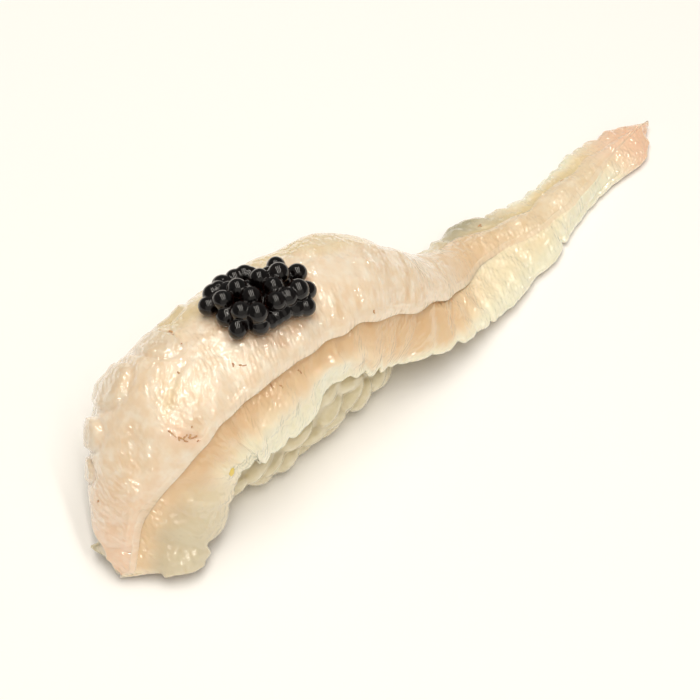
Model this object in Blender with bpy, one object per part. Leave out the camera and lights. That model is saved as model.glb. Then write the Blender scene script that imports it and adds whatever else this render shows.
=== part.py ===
# Nigiri sushi: a long strip of raw flatfish fin draped over a pressed rice bed,
# its tail lying flat beyond the rice, with a small heap of black roe on the crest.
# Units are metres. The nose of the strip is at -X, its pointed tail at +X, the side
# that shows the rice faces -Y, and the rice stands on the plane Z = 0.

import math
import random

import bmesh
import bpy
import numpy as np
from mathutils import Matrix, Vector
from mathutils.bvhtree import BVHTree

MM = 0.001
GAP = 0.3 * MM
WELD = 0.01 * MM

# Rice bed: a rounded oblong, grains half sunk in its sides
RICE_CENTRE_X = -28 * MM
RICE_LENGTH = 52 * MM
RICE_WIDTH = 27 * MM
RICE_HEIGHT = 20.4 * MM
RICE_WAIST_Z = 7 * MM
RICE_ROUNDNESS = 0.66
RICE_CLEARANCE = 0.6 * MM
PRESS_STEP = 0.03
GRAIN_LENGTH = 5.8 * MM
GRAIN_THICKNESS = 2.7 * MM
GRAIN_SPACING = 3.1 * MM
GRAIN_SINK = 0.15 * MM
GRAIN_CLEARANCE = 0.45 * MM
GRAIN_LOWEST = 0.05 * MM
GRAIN_TOP_Z = 10.5 * MM
GRAIN_TRIES = 2600
GRAIN_SIDES = 6
GRAIN_RINGS = 3
GRAIN_SEED = 11

# Spine of the strip: how it climbs the rice, crosses it and falls to the plate
NOSE_X = -69.4 * MM
TAIL_X = 70.2 * MM
FLOOR_GAP = 0.25 * MM
# Rise and sideways run of the spine, in millimetres: (x, z) and (x, y)
SPINE_Z = [
    (-71, 0.5), (-69, 0.9), (-66, 3.2), (-62, 8.6), (-57, 14.8), (-50, 19.4), (-40, 20.8),
    (-24, 20.8), (-13, 19.4), (-6, 16.2), (0, 11), (6, 6), (12, 2.9), (20, 1.3), (32, 0.6), (71, 0.6),
]
SPINE_Y = [
    (-70, -9.4), (-62, -5.8), (-50, -1.2), (-37, 0), (-20, 0), (-10, -1.2), (0, -3.2),
    (9, -4.0), (20, -5.0), (34, -6.0), (48, -5.7), (60, -4.9), (71, -4.4),
]

# Widths across the strip in millimetres: (x, width from the spine, measured over the surface)
BAND_FRONT = [
    (-70, 1.8), (-66, 1.7), (-62, 2.6), (-56, 5.8), (-50, 7.7), (-42, 8.4), (-26, 9), (-14, 9.4),
    (-6, 9.2), (2, 7.6), (10, 5.8), (16, 3.9), (22, 2.8), (30, 3.6), (42, 3.4), (54, 1.6), (62, 0.4),
    (71, 0),
]
BAND_BACK = [
    (-70, 2), (-66, 4.2), (-60, 7.6), (-50, 11.4), (-38, 12), (-20, 11), (-6, 7), (6, 4.8), (16, 4.2),
    (26, 2.6), (34, 2), (46, 2.3), (56, 1.6), (64, 0.5), (71, 0),
]
FRINGE_FRONT = [
    (-70, 0.8), (-69, 2.6), (-68, 4.2), (-66.6, 9.4), (-63, 14.6), (-56, 16.4), (-50, 18.1),
    (-40, 18.8), (-31, 19), (-26, 16), (-20, 16.8), (-10, 17.9), (-2, 16.4), (6, 14), (14, 12.5),
    (20, 11.4), (26, 9.5), (30, 9.2), (38, 6.3), (54, 4.7), (59, 5.4), (63, 4.1), (65, 2.4),
    (70.3, 0.15),
]
FRINGE_BACK = [
    (-70, 0.9), (-69, 3), (-68, 6), (-66, 5.4), (-62, 9), (-57, 14), (-50, 19), (-40, 21), (-20, 21),
    (-8, 18.5), (2, 11.4), (8, 7.4), (12, 7), (22, 7.8), (28, 7), (36, 5.6), (46, 4.9), (54, 6),
    (61, 4.4), (64, 2.5), (70.3, 0.15),
]
# Half width of the arch that the strip is draped over, in millimetres: (x, half width)
ARCH_FRONT = [
    (-70, 11), (-60, 12), (-48, 14), (-26, 14.4), (-6, 14.2), (6, 15.2), (20, 15), (71, 10),
]
ARCH_BACK = [
    (-70, 8), (-63, 9.4), (-58, 13.4), (-52, 16.2), (-44, 16.6), (-32, 15), (-20, 14.6), (-12, 15.4),
    (-6, 14.4), (2, 11), (10, 10.6), (24, 12), (71, 10),
]
# How square the arch is: 2 is an ellipse, and more has fuller shoulders
FRONT_SQUARENESS = [(-70, 2.6), (71, 2.6)]
BACK_SQUARENESS = [
    (-70, 2.6), (-20, 2.6), (-10, 2.6), (-4, 2.3), (4, 2), (14, 2.2), (71, 2.4),
]
ARCH_SAMPLES = 60
# Shares: most of the arch that a fringe covers, and least and most of a fringe under the band
FRINGE_REACH = 0.97
BAND_SHARE = (0.3, 0.86)

# Thickness of the flesh in millimetres, the band's as (x, thickness)
BAND_THICKNESS = [(-70, 2.6), (-64, 3.9), (-54, 5.0), (-38, 5.6), (-16, 5.4), (4, 4.9), (24, 4.4), (44, 3.7), (60, 2.7), (68, 2.1), (71, 1.2)]
LIP_SHARE = 0.72
FRINGE_THICKNESS = 2.1
FRINGE_EDGE = 1.15
EDGE_ROUND = 0.7
UNDERCUT = 1.3
LIP_CLEARANCE = 0.35
LIP_ROUND = 0.9
BACK_STEP = 0.35
FLAP_SHARE = 0.62
STEP_FADE = 2.5
NARROWEST = 0.3
# Lobes of the fringe, in millimetres: pitch along the strip, how far they reach out, how far
# they swell, and the lengths over which they fade in at the nose and out at the tail
LOBE_PITCH = 4.6
LOBE_DEPTH = 0.9
LOBE_SWELL = 0.5
LOBE_FADE = (4, 9)
STATIONS = 100

# Heap of roe
ROE_X = -29.4 * MM
ROE_ACROSS = -1.0 * MM
ROE_TURN = math.radians(-14)
ROE_DIAMETER = 3.15 * MM
ROE_LAYERS = [(9.3 * MM, 7.4 * MM), (6.8 * MM, 5.0 * MM)]
ROE_LAYER_RISE = 0.72
ROE_JITTER = 0.12
ROE_CORE = (7.6 * MM, 5.4 * MM)
ROE_CORE_HEIGHTS = (1.0 * MM, 3.5 * MM)
ROE_SEGMENTS = 8
ROE_RINGS = 5
ROE_SEED = 5


def smooth(t):
    # 0 below 0, 1 above 1 and a soft step between them
    t = min(max(t, 0.0), 1.0)
    return t * t * (3 - 2 * t)


def through(keys, place):
    # Smooth curve through (place, value) pairs, both in millimetres
    xs, ys = np.array(keys, float).T
    slopes = np.gradient(ys, xs)
    i = int(np.clip(np.searchsorted(xs, place) - 1, 0, len(xs) - 2))
    h = xs[i + 1] - xs[i]
    t = float(np.clip((place - xs[i]) / h, 0, 1))
    a, b = 2 * t**3 - 3 * t**2 + 1, t**3 - 2 * t**2 + t
    c, d = 3 * t**2 - 2 * t**3, t**3 - t**2
    return float(a * ys[i] + b * h * slopes[i] + c * ys[i + 1] + d * h * slopes[i + 1])


# Spine and the arch it carries


def spine(x):
    # Point under the middle of the strip at this X
    return Vector((x, through(SPINE_Y, x / MM) * MM, through(SPINE_Z, x / MM) * MM))


def spine_frame(x):
    # Origin, sideways and outward directions of the section at this X
    step = 0.2 * MM
    along = (spine(x + step) - spine(x - step)).normalized()
    across = Vector((0, 0, 1)).cross(along).normalized()
    return spine(x), across, along.cross(across)


def arch(width, height, squareness):
    # Quarter superellipse as arc lengths, sideways distances and drops
    turn = np.linspace(0, math.pi / 2, ARCH_SAMPLES)
    power = 2 / squareness
    side = width * np.sin(turn) ** power
    drop = height * (1 - np.clip(np.cos(turn), 0, 1) ** power)
    length = np.concatenate([[0], np.cumsum(np.hypot(np.diff(side), np.diff(drop)))])
    return length, side, drop


def lobes(run, phase):
    # 0 at a notch between two lobes, 1 at the crown of a lobe
    wander = 0.35 * math.sin(run / 7.3 + phase) + 0.2 * math.sin(run / 3.1 + 2 * phase)
    return abs(math.sin(math.pi * run / LOBE_PITCH + wander + phase)) ** 0.7


class Station:
    # One cross-section of the strip: places points by their run across it and their height

    def __init__(self, x, run):
        self.origin, self.across, self.outward = spine_frame(x)
        place = x / MM
        height = (self.origin.z - FLOOR_GAP) / max(self.outward.z, 0.3)
        shapes = ((ARCH_FRONT, FRONT_SQUARENESS), (ARCH_BACK, BACK_SQUARENESS))
        self.arches = [arch(through(w, place) * MM, height, through(q, place)) for w, q in shapes]
        fade = smooth((place - NOSE_X / MM) / LOBE_FADE[0]) * smooth((TAIL_X / MM - place) / LOBE_FADE[1])
        depth = LOBE_DEPTH * fade
        self.swell = LOBE_SWELL * fade
        self.crown = [lobes(run, phase) for phase in (0.4, 1.9)]
        wide = [through(FRINGE_FRONT, place), through(FRINGE_BACK, place)]
        self.edge = [w + depth * (c - 0.6) for w, c in zip(wide, self.crown)]
        reach = [length[-1] / MM * FRINGE_REACH for length, _, _ in self.arches]
        self.edge = [min(max(e, NARROWEST), r) for e, r in zip(self.edge, reach)]
        full = [through(BAND_FRONT, place), through(BAND_BACK, place)]
        self.band = [min(max(b, BAND_SHARE[0] * e), BAND_SHARE[1] * e) for b, e in zip(full, self.edge)]
        self.top = through(BAND_THICKNESS, place)
        self.flap = min(FRINGE_THICKNESS, FLAP_SHARE * self.top)
        self.step = smooth((self.edge[0] - self.band[0]) / STEP_FADE)

    def point(self, run, height):
        # Place of a point this far across the surface and this far above it, in millimetres
        side = 0 if run < 0 else 1
        sign = -1 if run < 0 else 1
        length, out, drop = self.arches[side]
        here = abs(run) * MM
        b, d = np.interp(here, length, out), np.interp(here, length, drop)
        ahead, behind = here + 0.3 * MM, max(here - 0.3 * MM, 0)
        slope = Vector((np.interp(ahead, length, out) - np.interp(behind, length, out),
                        np.interp(behind, length, drop) - np.interp(ahead, length, drop)))
        slope = slope.normalized() if slope.length > 1e-9 else Vector((0, -1))
        b, n = b - slope.y * height * MM, -d + slope.x * height * MM
        place = self.origin + self.across * (sign * b) + self.outward * n
        place.z = max(place.z, FLOOR_GAP)
        return place

    def fringe_height(self, side, share):
        # Thickness of the fringe, share 0 at its edge and 1 where the band begins
        swell = self.swell * (self.crown[side] - 0.5) * 4 * share * (1 - share)
        return (FRINGE_EDGE + (FRINGE_THICKNESS - FRINGE_EDGE) * share + swell) * self.flap / FRINGE_THICKNESS

    def band_height(self, run):
        # Thickness of the band: fullest over the spine, lower at its lip and at its back edge
        if run < 0:
            share = min(abs(run) / self.band[0], 1)
            low = self.top * LIP_SHARE
        else:
            share = min(run / self.band[1], 1)
            low = self.flap + BACK_STEP
        return low + (self.top - low) * (1 - share**2.4)

    def loop(self):
        # Closed outline of the section, from the front edge over the top and back underneath
        front, back = self.edge
        lip, rear = self.band
        cut = min(UNDERCUT * self.step, 0.5 * lip)
        lid = self.flap + LIP_CLEARANCE * self.step
        rounding = min(LIP_ROUND, 0.4 * lip)
        mid = lid + 0.45 * (self.band_height(-lip) - lid)
        rim = min(EDGE_ROUND, 0.3 * min(front, back))
        path = [(-front, 0.5 * self.fringe_height(0, 0))]
        path += [(-front + rim + (front - rim - lip) * t, self.fringe_height(0, max(t, 0.02))) for t in (0, 0.3, 0.65, 1)]
        path += [(-lip + cut, self.flap * 0.9), (-lip + 0.35 * cut, lid), (-lip - 0.15 * self.step, mid)]
        path += [(-lip + rounding * 0.5, self.band_height(-lip) - 0.12 * (self.band_height(-lip) - lid))]
        for t in (0.86, 0.6, 0.3, 0):
            path.append((-(lip - rounding) * t - 0.01, self.band_height(-(lip - rounding) * t)))
        path += [(rear * t, self.band_height(rear * t)) for t in (0.35, 0.68, 0.92)]
        path += [(rear + (back - rim - rear) * t, self.fringe_height(1, 1 - t)) for t in (0.03, 0.4, 0.75, 1)]
        path += [(back, 0.5 * self.fringe_height(1, 0))]
        path += [(back - rim, 0)] + [(back * t, 0) for t in (0.72, 0.4, 0.02)]
        path += [(-front * t, 0) for t in (0.4, 0.72)] + [(-front + rim, 0)]
        return [self.point(run, height) for run, height in path]


def material(name, colour, roughness, metallic=0.0):
    made = bpy.data.materials.new(name)
    made.use_nodes = True
    shader = made.node_tree.nodes["Principled BSDF"]
    shader.inputs["Base Color"].default_value = (*colour, 1)
    shader.inputs["Roughness"].default_value = roughness
    shader.inputs["Metallic"].default_value = metallic
    made.diffuse_color = (*colour, 1)
    return made


def object_from(bm, name, finish, collection):
    mesh = bpy.data.meshes.new(name)
    bm.to_mesh(mesh)
    bm.free()
    mesh.shade_smooth()
    made = bpy.data.objects.new(name, mesh)
    mesh.materials.append(finish)
    collection.objects.link(made)
    return made


# Fish strip


def station_places():
    # X of each section, spaced evenly along the spine and closer at both ends, with its run
    fine = np.linspace(NOSE_X, TAIL_X, 800)
    points = np.array([spine(x) for x in fine])
    run = np.concatenate([[0], np.cumsum(np.linalg.norm(np.diff(points, axis=0), axis=1))])
    share = np.linspace(0, 1, STATIONS)
    share = share - 0.06 * np.sin(2 * math.pi * share) / (2 * math.pi)
    return [(float(np.interp(t * run[-1], run, fine)), float(t * run[-1] / MM)) for t in share]


def fish_strip(collection):
    # A grid rolled into a closed sleeve: each row is one section, and both ends are drawn to a point
    places = station_places()
    loops = [Station(x, run).loop() for x, run in places]
    around = len(loops[0])
    ends = []
    for loop, outer in ((loops[0], -0.5 * MM), (loops[-1], 0.3 * MM)):
        centre = sum(loop, Vector()) / around
        ends.append(Vector((centre.x + outer, centre.y, max(centre.z, FLOOR_GAP))))
    rows = [[ends[0]] * around] + loops + [[ends[1]] * around]
    bm = bmesh.new()
    bmesh.ops.create_grid(bm, x_segments=around, y_segments=len(rows) - 1, size=0.5)
    for vert in bm.verts:
        column = round((vert.co.x + 0.5) * around) % around
        row = round((vert.co.y + 0.5) * (len(rows) - 1))
        vert.co = rows[row][column]
    bmesh.ops.remove_doubles(bm, verts=bm.verts, dist=WELD)
    bmesh.ops.triangulate(bm, faces=bm.faces)
    bmesh.ops.recalc_face_normals(bm, faces=bm.faces)
    return object_from(bm, "fish_strip", material("raw_fish", (0.82, 0.66, 0.48), 0.3), collection)


# Fusing small pieces on a core


def fuse(core, pieces, collection):
    # One union of the core with every piece in a helper collection, then the helpers go
    group = bpy.data.collections.new(core.name + "_pieces")
    bpy.context.scene.collection.children.link(group)
    for n, bm in enumerate(pieces):
        object_from(bm, f"{core.name}_piece_{n}", core.data.materials[0], group)
    union = core.modifiers.new("fused", "BOOLEAN")
    union.operation, union.solver = "UNION", "EXACT"
    union.operand_type, union.collection = "COLLECTION", group
    bpy.context.view_layer.update()
    graph = bpy.context.evaluated_depsgraph_get()
    fused = bpy.data.meshes.new_from_object(core.evaluated_get(graph))
    core.modifiers.clear()
    core.data = fused
    for helper in list(group.objects):
        bpy.data.objects.remove(helper)
    bpy.data.collections.remove(group)
    keep_outer_shell(core)
    fused.shade_smooth()


def keep_outer_shell(obj):
    # Drops loose scraps and the walls of sealed hollows: only the largest shell stays
    bm = bmesh.new()
    bm.from_mesh(obj.data)
    bmesh.ops.remove_doubles(bm, verts=bm.verts, dist=WELD)
    left, shells = set(bm.verts), []
    while left:
        shell, edge = set(), [left.pop()]
        while edge:
            vert = edge.pop()
            shell.add(vert)
            for link in vert.link_edges:
                other = link.other_vert(vert)
                if other in left:
                    left.discard(other)
                    edge.append(other)
        shells.append(shell)
    shells.sort(key=len)
    loose = [vert for shell in shells[:-1] for vert in shell]
    bmesh.ops.delete(bm, geom=loose, context="VERTS")
    bmesh.ops.triangulate(bm, faces=bm.faces)
    bm.to_mesh(obj.data)
    bm.free()


# Rice bed


def face_points(face):
    # Corners, edge middles and centre of a face
    corners = [vert.co for vert in face.verts]
    middles = [(edge.verts[0].co + edge.verts[1].co) / 2 for edge in face.edges]
    return corners + middles + [face.calc_center_median()]


def oblong(u, v, grow=0.0):
    # Point of the rice core's surface at longitude u and latitude v
    e = RICE_ROUNDNESS

    def bend(value):
        return math.copysign(abs(value) ** e, value)

    ring = bend(math.cos(v))
    rise = RICE_HEIGHT - RICE_WAIST_Z if v > 0 else RICE_WAIST_Z * 1.25
    return Vector((RICE_CENTRE_X + (RICE_LENGTH / 2 + grow) * ring * bend(math.cos(u)),
                   (RICE_WIDTH / 2 + grow) * ring * bend(math.sin(u)),
                   RICE_WAIST_Z + rise * bend(math.sin(v))))


def heart_of_rice(place):
    # Point deep in the rice that this place is pressed towards
    return Vector((RICE_CENTRE_X + (place.x - RICE_CENTRE_X) * 0.6, 0, 0.4 * RICE_HEIGHT))


def room(place, tree, gap):
    # How far out from the heart this place may lie before the strip is a gap away, or None if it is clear
    heart = heart_of_rice(place)
    reach = place - heart
    hit = tree.ray_cast(heart, reach.normalized(), reach.length + gap)
    return None if hit[0] is None else hit[3] - gap


def clear_of(face, tree, gap):
    # True if every point of the face is under or beside the strip, the gap away from it
    points = face_points(face)
    if any(tree.find_nearest(point)[3] < gap for point in points):
        return False
    return all(room(point, tree, gap) is None for point in points)


def press_under(bm, tree):
    # Presses the core in under the strip: first point by point, then face by face until all are clear
    for vert in bm.verts:
        far = room(vert.co, tree, RICE_CLEARANCE)
        if far is not None:
            heart = heart_of_rice(vert.co)
            vert.co = heart + (vert.co - heart).normalized() * far
    close = set(bm.faces)
    while close:
        close = {face for face in close if not clear_of(face, tree, RICE_CLEARANCE)}
        for vert in {vert for face in close for vert in face.verts}:
            vert.co = vert.co.lerp(heart_of_rice(vert.co), PRESS_STEP)
        close = {other for face in close for vert in face.verts for other in vert.link_faces}


def rice_core(tree, finish, collection):
    # Rounded oblong with a flat base
    bm = bmesh.new()
    bmesh.ops.create_uvsphere(bm, u_segments=36, v_segments=18, radius=1)
    for vert in bm.verts:
        vert.co = oblong(math.atan2(vert.co.y, vert.co.x), math.asin(max(-1, min(1, vert.co.z))))
    press_under(bm, tree)
    cut = bmesh.ops.bisect_plane(bm, geom=bm.verts[:] + bm.edges[:] + bm.faces[:],
                                 plane_co=(0, 0, 0), plane_no=(0, 0, -1), clear_outer=True)
    rim = [item for item in cut["geom_cut"] if isinstance(item, bmesh.types.BMEdge)]
    bmesh.ops.contextual_create(bm, geom=rim)
    bmesh.ops.triangulate(bm, faces=bm.faces)
    bmesh.ops.recalc_face_normals(bm, faces=bm.faces)
    return object_from(bm, "rice_bed", finish, collection)


def grain(centre, lie):
    # One grain: a plump ellipsoid lying along its own X
    bm = bmesh.new()
    bmesh.ops.create_uvsphere(bm, u_segments=GRAIN_SIDES, v_segments=GRAIN_RINGS, radius=0.5)
    bm.transform(Matrix.Rotation(math.pi / 2, 4, "Y"))
    bm.transform(Matrix.Diagonal((GRAIN_LENGTH, GRAIN_THICKNESS, GRAIN_THICKNESS * 0.92, 1)))
    bm.transform(Matrix.Translation(centre) @ lie.to_4x4())
    return bm


def side_lie(u, v, draw):
    # How a grain lies on the rice: flat against the surface, turned at random
    here = oblong(u, v)
    east = (oblong(u + 0.02, v) - here).normalized()
    north = (oblong(u, v + 0.02) - here).normalized()
    out = east.cross(north).normalized()
    spin = Matrix.Rotation(draw.uniform(0, math.pi), 3, out)
    tilt = Matrix.Rotation(draw.uniform(-0.3, 0.3), 3, east)
    along = tilt @ spin @ east
    third = along.cross(out).normalized()
    return here, out, Matrix((along, -third, third.cross(along) * -1)).transposed()


def rice_bed(fish, collection):
    finish = material("cooked_rice", (0.66, 0.58, 0.40), 0.35)
    tree = BVHTree.FromObject(fish, bpy.context.evaluated_depsgraph_get())
    core = rice_core(tree, finish, collection)
    draw = random.Random(GRAIN_SEED)
    centres, grains = [], []
    for _ in range(GRAIN_TRIES):
        u, v = draw.uniform(-math.pi, math.pi), draw.uniform(-0.5, 0.9)
        here, out, lie = side_lie(u, v, draw)
        if not 1.6 * MM < here.z < GRAIN_TOP_Z:
            continue
        if any((here - other).length < GRAIN_SPACING for other in centres):
            continue
        for sink in (GRAIN_SINK, GRAIN_SINK + 0.35 * MM, GRAIN_SINK + 0.7 * MM):
            piece = grain(here - out * sink, lie)
            lowest = min(vert.co.z for vert in piece.verts)
            if lowest > GRAIN_LOWEST and all(clear_of(face, tree, GRAIN_CLEARANCE) for face in piece.faces):
                centres.append(here)
                grains.append(piece)
                break
            piece.free()
    fuse(core, grains, collection)
    return core


# Roe


def roe_places():
    # Centres of the eggs over the strip, layer by layer: (run along, run across, height), in metres
    draw = random.Random(ROE_SEED)
    places = []
    for layer, (reach_x, reach_y) in enumerate(ROE_LAYERS):
        rows = int(reach_y / (ROE_DIAMETER * 0.87)) + 1
        for row in range(-rows, rows + 1):
            for column in range(-8, 9):
                x = (column + 0.5 * ((row + layer) % 2)) * ROE_DIAMETER
                y = (row + 0.33 * layer) * ROE_DIAMETER * 0.87
                x += draw.uniform(-1, 1) * ROE_JITTER * ROE_DIAMETER
                y += draw.uniform(-1, 1) * ROE_JITTER * ROE_DIAMETER
                lift = draw.uniform(0, 0.25) * ROE_DIAMETER * (layer > 0)
                if (x / reach_x) ** 2 + (y / reach_y) ** 2 < 1:
                    turned = Matrix.Rotation(ROE_TURN, 2) @ Vector((x, y))
                    height = ROE_DIAMETER * (0.5 + ROE_LAYER_RISE * layer) + GAP * 1.3 - lift * 0.3
                    places.append((turned.x, turned.y, height))
    return places


def on_band(along, across, height):
    # Place over the band near the roe heap
    station = Station(ROE_X + along, 0)
    run = (ROE_ACROSS + across) / MM
    return station.point(run, station.band_height(run) + height / MM)


def roe_heap(collection):
    finish = material("black_roe", (0.010, 0.007, 0.006), 0.12)
    bm = bmesh.new()
    bmesh.ops.create_uvsphere(bm, u_segments=16, v_segments=8, radius=1)
    low, high = ROE_CORE_HEIGHTS
    for vert in bm.verts:
        plan = Matrix.Rotation(ROE_TURN, 2) @ Vector((vert.co.x * ROE_CORE[0], vert.co.y * ROE_CORE[1]))
        vert.co = on_band(plan.x, plan.y, low + (high - low) * (vert.co.z + 1) / 2)
    core = object_from(bm, "roe_heap", finish, collection)
    eggs = []
    for along, across, height in roe_places():
        bm = bmesh.new()
        bmesh.ops.create_uvsphere(bm, u_segments=ROE_SEGMENTS, v_segments=ROE_RINGS, radius=ROE_DIAMETER / 2)
        bm.transform(Matrix.Translation(on_band(along, across, height)))
        eggs.append(bm)
    fuse(core, eggs, collection)
    return core


def stand_centred(objects):
    # Moves the meshes so that the whole stands on Z = 0, its outline centred on the origin
    corners = np.array([vert.co for obj in objects for vert in obj.data.vertices])
    low, high = corners.min(axis=0), corners.max(axis=0)
    middle = (low + high) / 2
    for obj in objects:
        obj.data.transform(Matrix.Translation((-middle[0], -middle[1], -low[2])))


def build():
    for old in list(bpy.data.objects):
        bpy.data.objects.remove(old)
    collection = bpy.data.collections.new("nigiri_sushi")
    bpy.context.scene.collection.children.link(collection)
    fish = fish_strip(collection)
    rice = rice_bed(fish, collection)
    roe = roe_heap(collection)
    stand_centred([fish, rice, roe])


build()
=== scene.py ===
import math
import random

import bmesh
import bpy
import numpy as np
from mathutils import Matrix, Vector
from mathutils.bvhtree import BVHTree


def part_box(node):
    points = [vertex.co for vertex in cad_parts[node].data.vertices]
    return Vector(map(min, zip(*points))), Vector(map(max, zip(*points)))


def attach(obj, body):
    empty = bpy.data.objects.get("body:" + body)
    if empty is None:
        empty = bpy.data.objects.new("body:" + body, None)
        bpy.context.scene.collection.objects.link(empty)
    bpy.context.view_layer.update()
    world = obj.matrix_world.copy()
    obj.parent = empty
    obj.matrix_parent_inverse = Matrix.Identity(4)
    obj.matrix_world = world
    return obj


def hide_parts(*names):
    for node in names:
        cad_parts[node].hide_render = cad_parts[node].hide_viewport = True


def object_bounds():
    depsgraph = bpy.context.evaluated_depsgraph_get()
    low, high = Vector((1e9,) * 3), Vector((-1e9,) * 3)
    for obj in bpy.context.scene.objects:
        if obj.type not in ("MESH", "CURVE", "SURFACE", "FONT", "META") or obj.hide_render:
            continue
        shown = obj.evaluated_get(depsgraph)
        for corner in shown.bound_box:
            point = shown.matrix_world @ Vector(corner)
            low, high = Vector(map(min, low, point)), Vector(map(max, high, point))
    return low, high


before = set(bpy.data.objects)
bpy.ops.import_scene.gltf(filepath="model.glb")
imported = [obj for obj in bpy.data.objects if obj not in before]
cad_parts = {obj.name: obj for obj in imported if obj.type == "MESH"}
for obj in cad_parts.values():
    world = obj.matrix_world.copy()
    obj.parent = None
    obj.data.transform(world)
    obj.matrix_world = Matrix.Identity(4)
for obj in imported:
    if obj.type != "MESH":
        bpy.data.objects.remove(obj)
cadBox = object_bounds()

# Nigiri sushi: a long strip of raw flatfish fin over a rice bed, with black roe on its crest.
# Lengths in the dictionaries are millimetres; meshes are metres.
# The strip's own directions: "along" it from nose to tail, and "across" it, negative at the front.
mm = 0.001
print("frame loaded")


def linear(code):
    # "#rrggbb" as the linear colour that Blender's sockets take
    parts = [int(code[i:i + 2], 16) / 255 for i in (1, 3, 5)]
    return tuple(p / 12.92 if p <= 0.04045 else ((p + 0.055) / 1.055) ** 2.4 for p in parts) + (1.0,)


def through(keys, places):
    # smooth curve through (place, value) pairs, read at many places
    xs, ys = np.array(keys, float).T
    slopes = np.gradient(ys, xs)
    places = np.asarray(places, float)
    i = np.clip(np.searchsorted(xs, places) - 1, 0, len(xs) - 2)
    h = xs[i + 1] - xs[i]
    t = np.clip((places - xs[i]) / h, 0, 1)
    a, b = 2 * t**3 - 3 * t**2 + 1, t**3 - 2 * t**2 + t
    c, d = 3 * t**2 - 2 * t**3, t**3 - t**2
    return a * ys[i] + b * h * slopes[i] + c * ys[i + 1] + d * h * slopes[i + 1]


def soft(low, high, value):
    # 0 below low, 1 above high, a soft step between
    t = np.clip((value - low) / (high - low), 0, 1)
    return t * t * (3 - 2 * t)


def hump(value, middle, width):
    # 1 at the middle, fading to nothing a width away
    return np.exp(-((value - middle) / width) ** 2 * 2)


def stretch(along, start, full, fading, end):
    # 1 between full and fading, 0 before the start and after the end
    return soft(start, full, along) * soft(end, fading, along)


def roundedEnd(share):
    # small at a rounded end, 1 where its curve has come level
    return np.sqrt(1 - (1 - np.clip(share, 0.01, 1)) ** 2)


def ripple(along, across, pitch, seed, drawOut=1.0):
    # uneven swells about a pitch long; drawOut lengthens them across the strip
    draw = random.Random(seed)
    waves, highest = 7, 3.2  # the sum of so many waves seldom passes this height
    total = np.zeros(np.broadcast(along, across).shape)
    for _ in range(waves):
        turn, size, shift = draw.uniform(0, math.pi), draw.uniform(0.7, 1.5), draw.uniform(0, 6.3)
        wave = along * math.cos(turn) + across * math.sin(turn) / drawOut
        total += np.sin(2 * math.pi * wave / (pitch * size) + shift)
    return total / highest


def meshPiece(name, bm, finish, smoothShade=True):
    # an object at the origin from a bmesh, with its finish
    mesh = bpy.data.meshes.new(name)
    bm.to_mesh(mesh)
    bm.free()
    if smoothShade:
        mesh.shade_smooth()
    made = bpy.data.objects.new(name, mesh)
    mesh.materials.append(finish)
    bpy.context.scene.collection.objects.link(made)
    return made


def joinSkin(made, voxel, rounds):
    # one skin over bodies that touch, its joints rounded as moisture does
    skin = made.modifiers.new("skin", "REMESH")
    skin.mode, skin.voxel_size, skin.use_smooth_shade = "VOXEL", voxel * mm, True
    moist = made.modifiers.new("moist", "SMOOTH")
    moist.factor, moist.iterations = 0.5, rounds
    graph = bpy.context.evaluated_depsgraph_get()
    skinned = bpy.data.meshes.new_from_object(made.evaluated_get(graph))
    made.modifiers.clear()
    made.data = skinned
    return made


# Materials


def startMaterial(name):
    made = bpy.data.materials.new(name)
    made.use_nodes = True
    tree = made.node_tree
    return made, tree, tree.nodes["Principled BSDF"]


def setInputs(tree, node, inputs):
    # gives each input a value or another node's output
    for key, value in inputs.items():
        if isinstance(value, bpy.types.NodeSocket):
            tree.links.new(value, node.inputs[key])
        else:
            node.inputs[key].default_value = value


def addNode(tree, kind, settings=None, inputs=None):
    # adds a node with its settings and inputs
    node = tree.nodes.new(kind)
    for key, value in (settings or {}).items():
        setattr(node, key, value)
    setInputs(tree, node, inputs or {})
    return node


fleshLook = {
    "band": "#f2e0c8", "bandPale": "#fbf2e3", "bandDeep": "#ecd5b5",
    # on the next line, rim also paints a highlight on the fold's crest, and lip paints a highlight
    # along the lip
    # on the next line, the tan is painted shade, under the lip and where the band slopes down to the
    # tail
    "fin": "#f9ebcc", "paintedShade": "#e7c79c", "rim": "#fdf4de", "lip": "#f9ebd6", "grey": "#b9b296",
    # on the next line, the last brown tint is painted contact shade round the roe
    "yellow": "#e7d4a6", "warm": "#f8cdae", "muscle": "#dfc4a0", "roeShade": "#cd9658",
    "ior": 1.38, "roughness": 0.34, "scatterRadius": (1.0, 0.92, 0.84), "scatterDepth": 0.65,
    # the film of water; its index is set above water's, for glints as bright as real ones
    "coat": 1.0, "coatRoughness": 0.05, "coatIor": 1.75,
    # uneven tints: pitch, detail, the noise's low and high end, and how much of it shows
    "clouds": {"cloudy": (9.0, 2.0, 0.35, 0.68, 1.0), "mottled": (1.6, 3.0, 0.4, 0.75, 0.7),
               "patchy": (4.4, 3.0, 0.42, 0.54, 1.0)},
    # wet grain: finer than this on real flesh, and drawn as coarse as it needs to show;
    # the film of water has all of it, the flesh below only grainDepth
    "sparklePitch": 0.7, "sparkleLength": 0.9, "sparkleDepth": 0.34, "sparkleLeast": 0.35,
    "grainDepth": 0.07,
    "fibrePitch": 0.9, "fibreLength": 3.4, "fibreDepth": 0.04,
    "ribPitch": 1.5, "ribWobble": 1.4, "ribDepth": 0.025,
    # lines between the blocks of muscle, which slant back from the spine
    "musclePitch": 3.8, "muscleLength": 8, "muscleSlant": 0.41, "muscleWobble": 1.6,
    "muscleDepth": 0.1,
}


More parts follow.
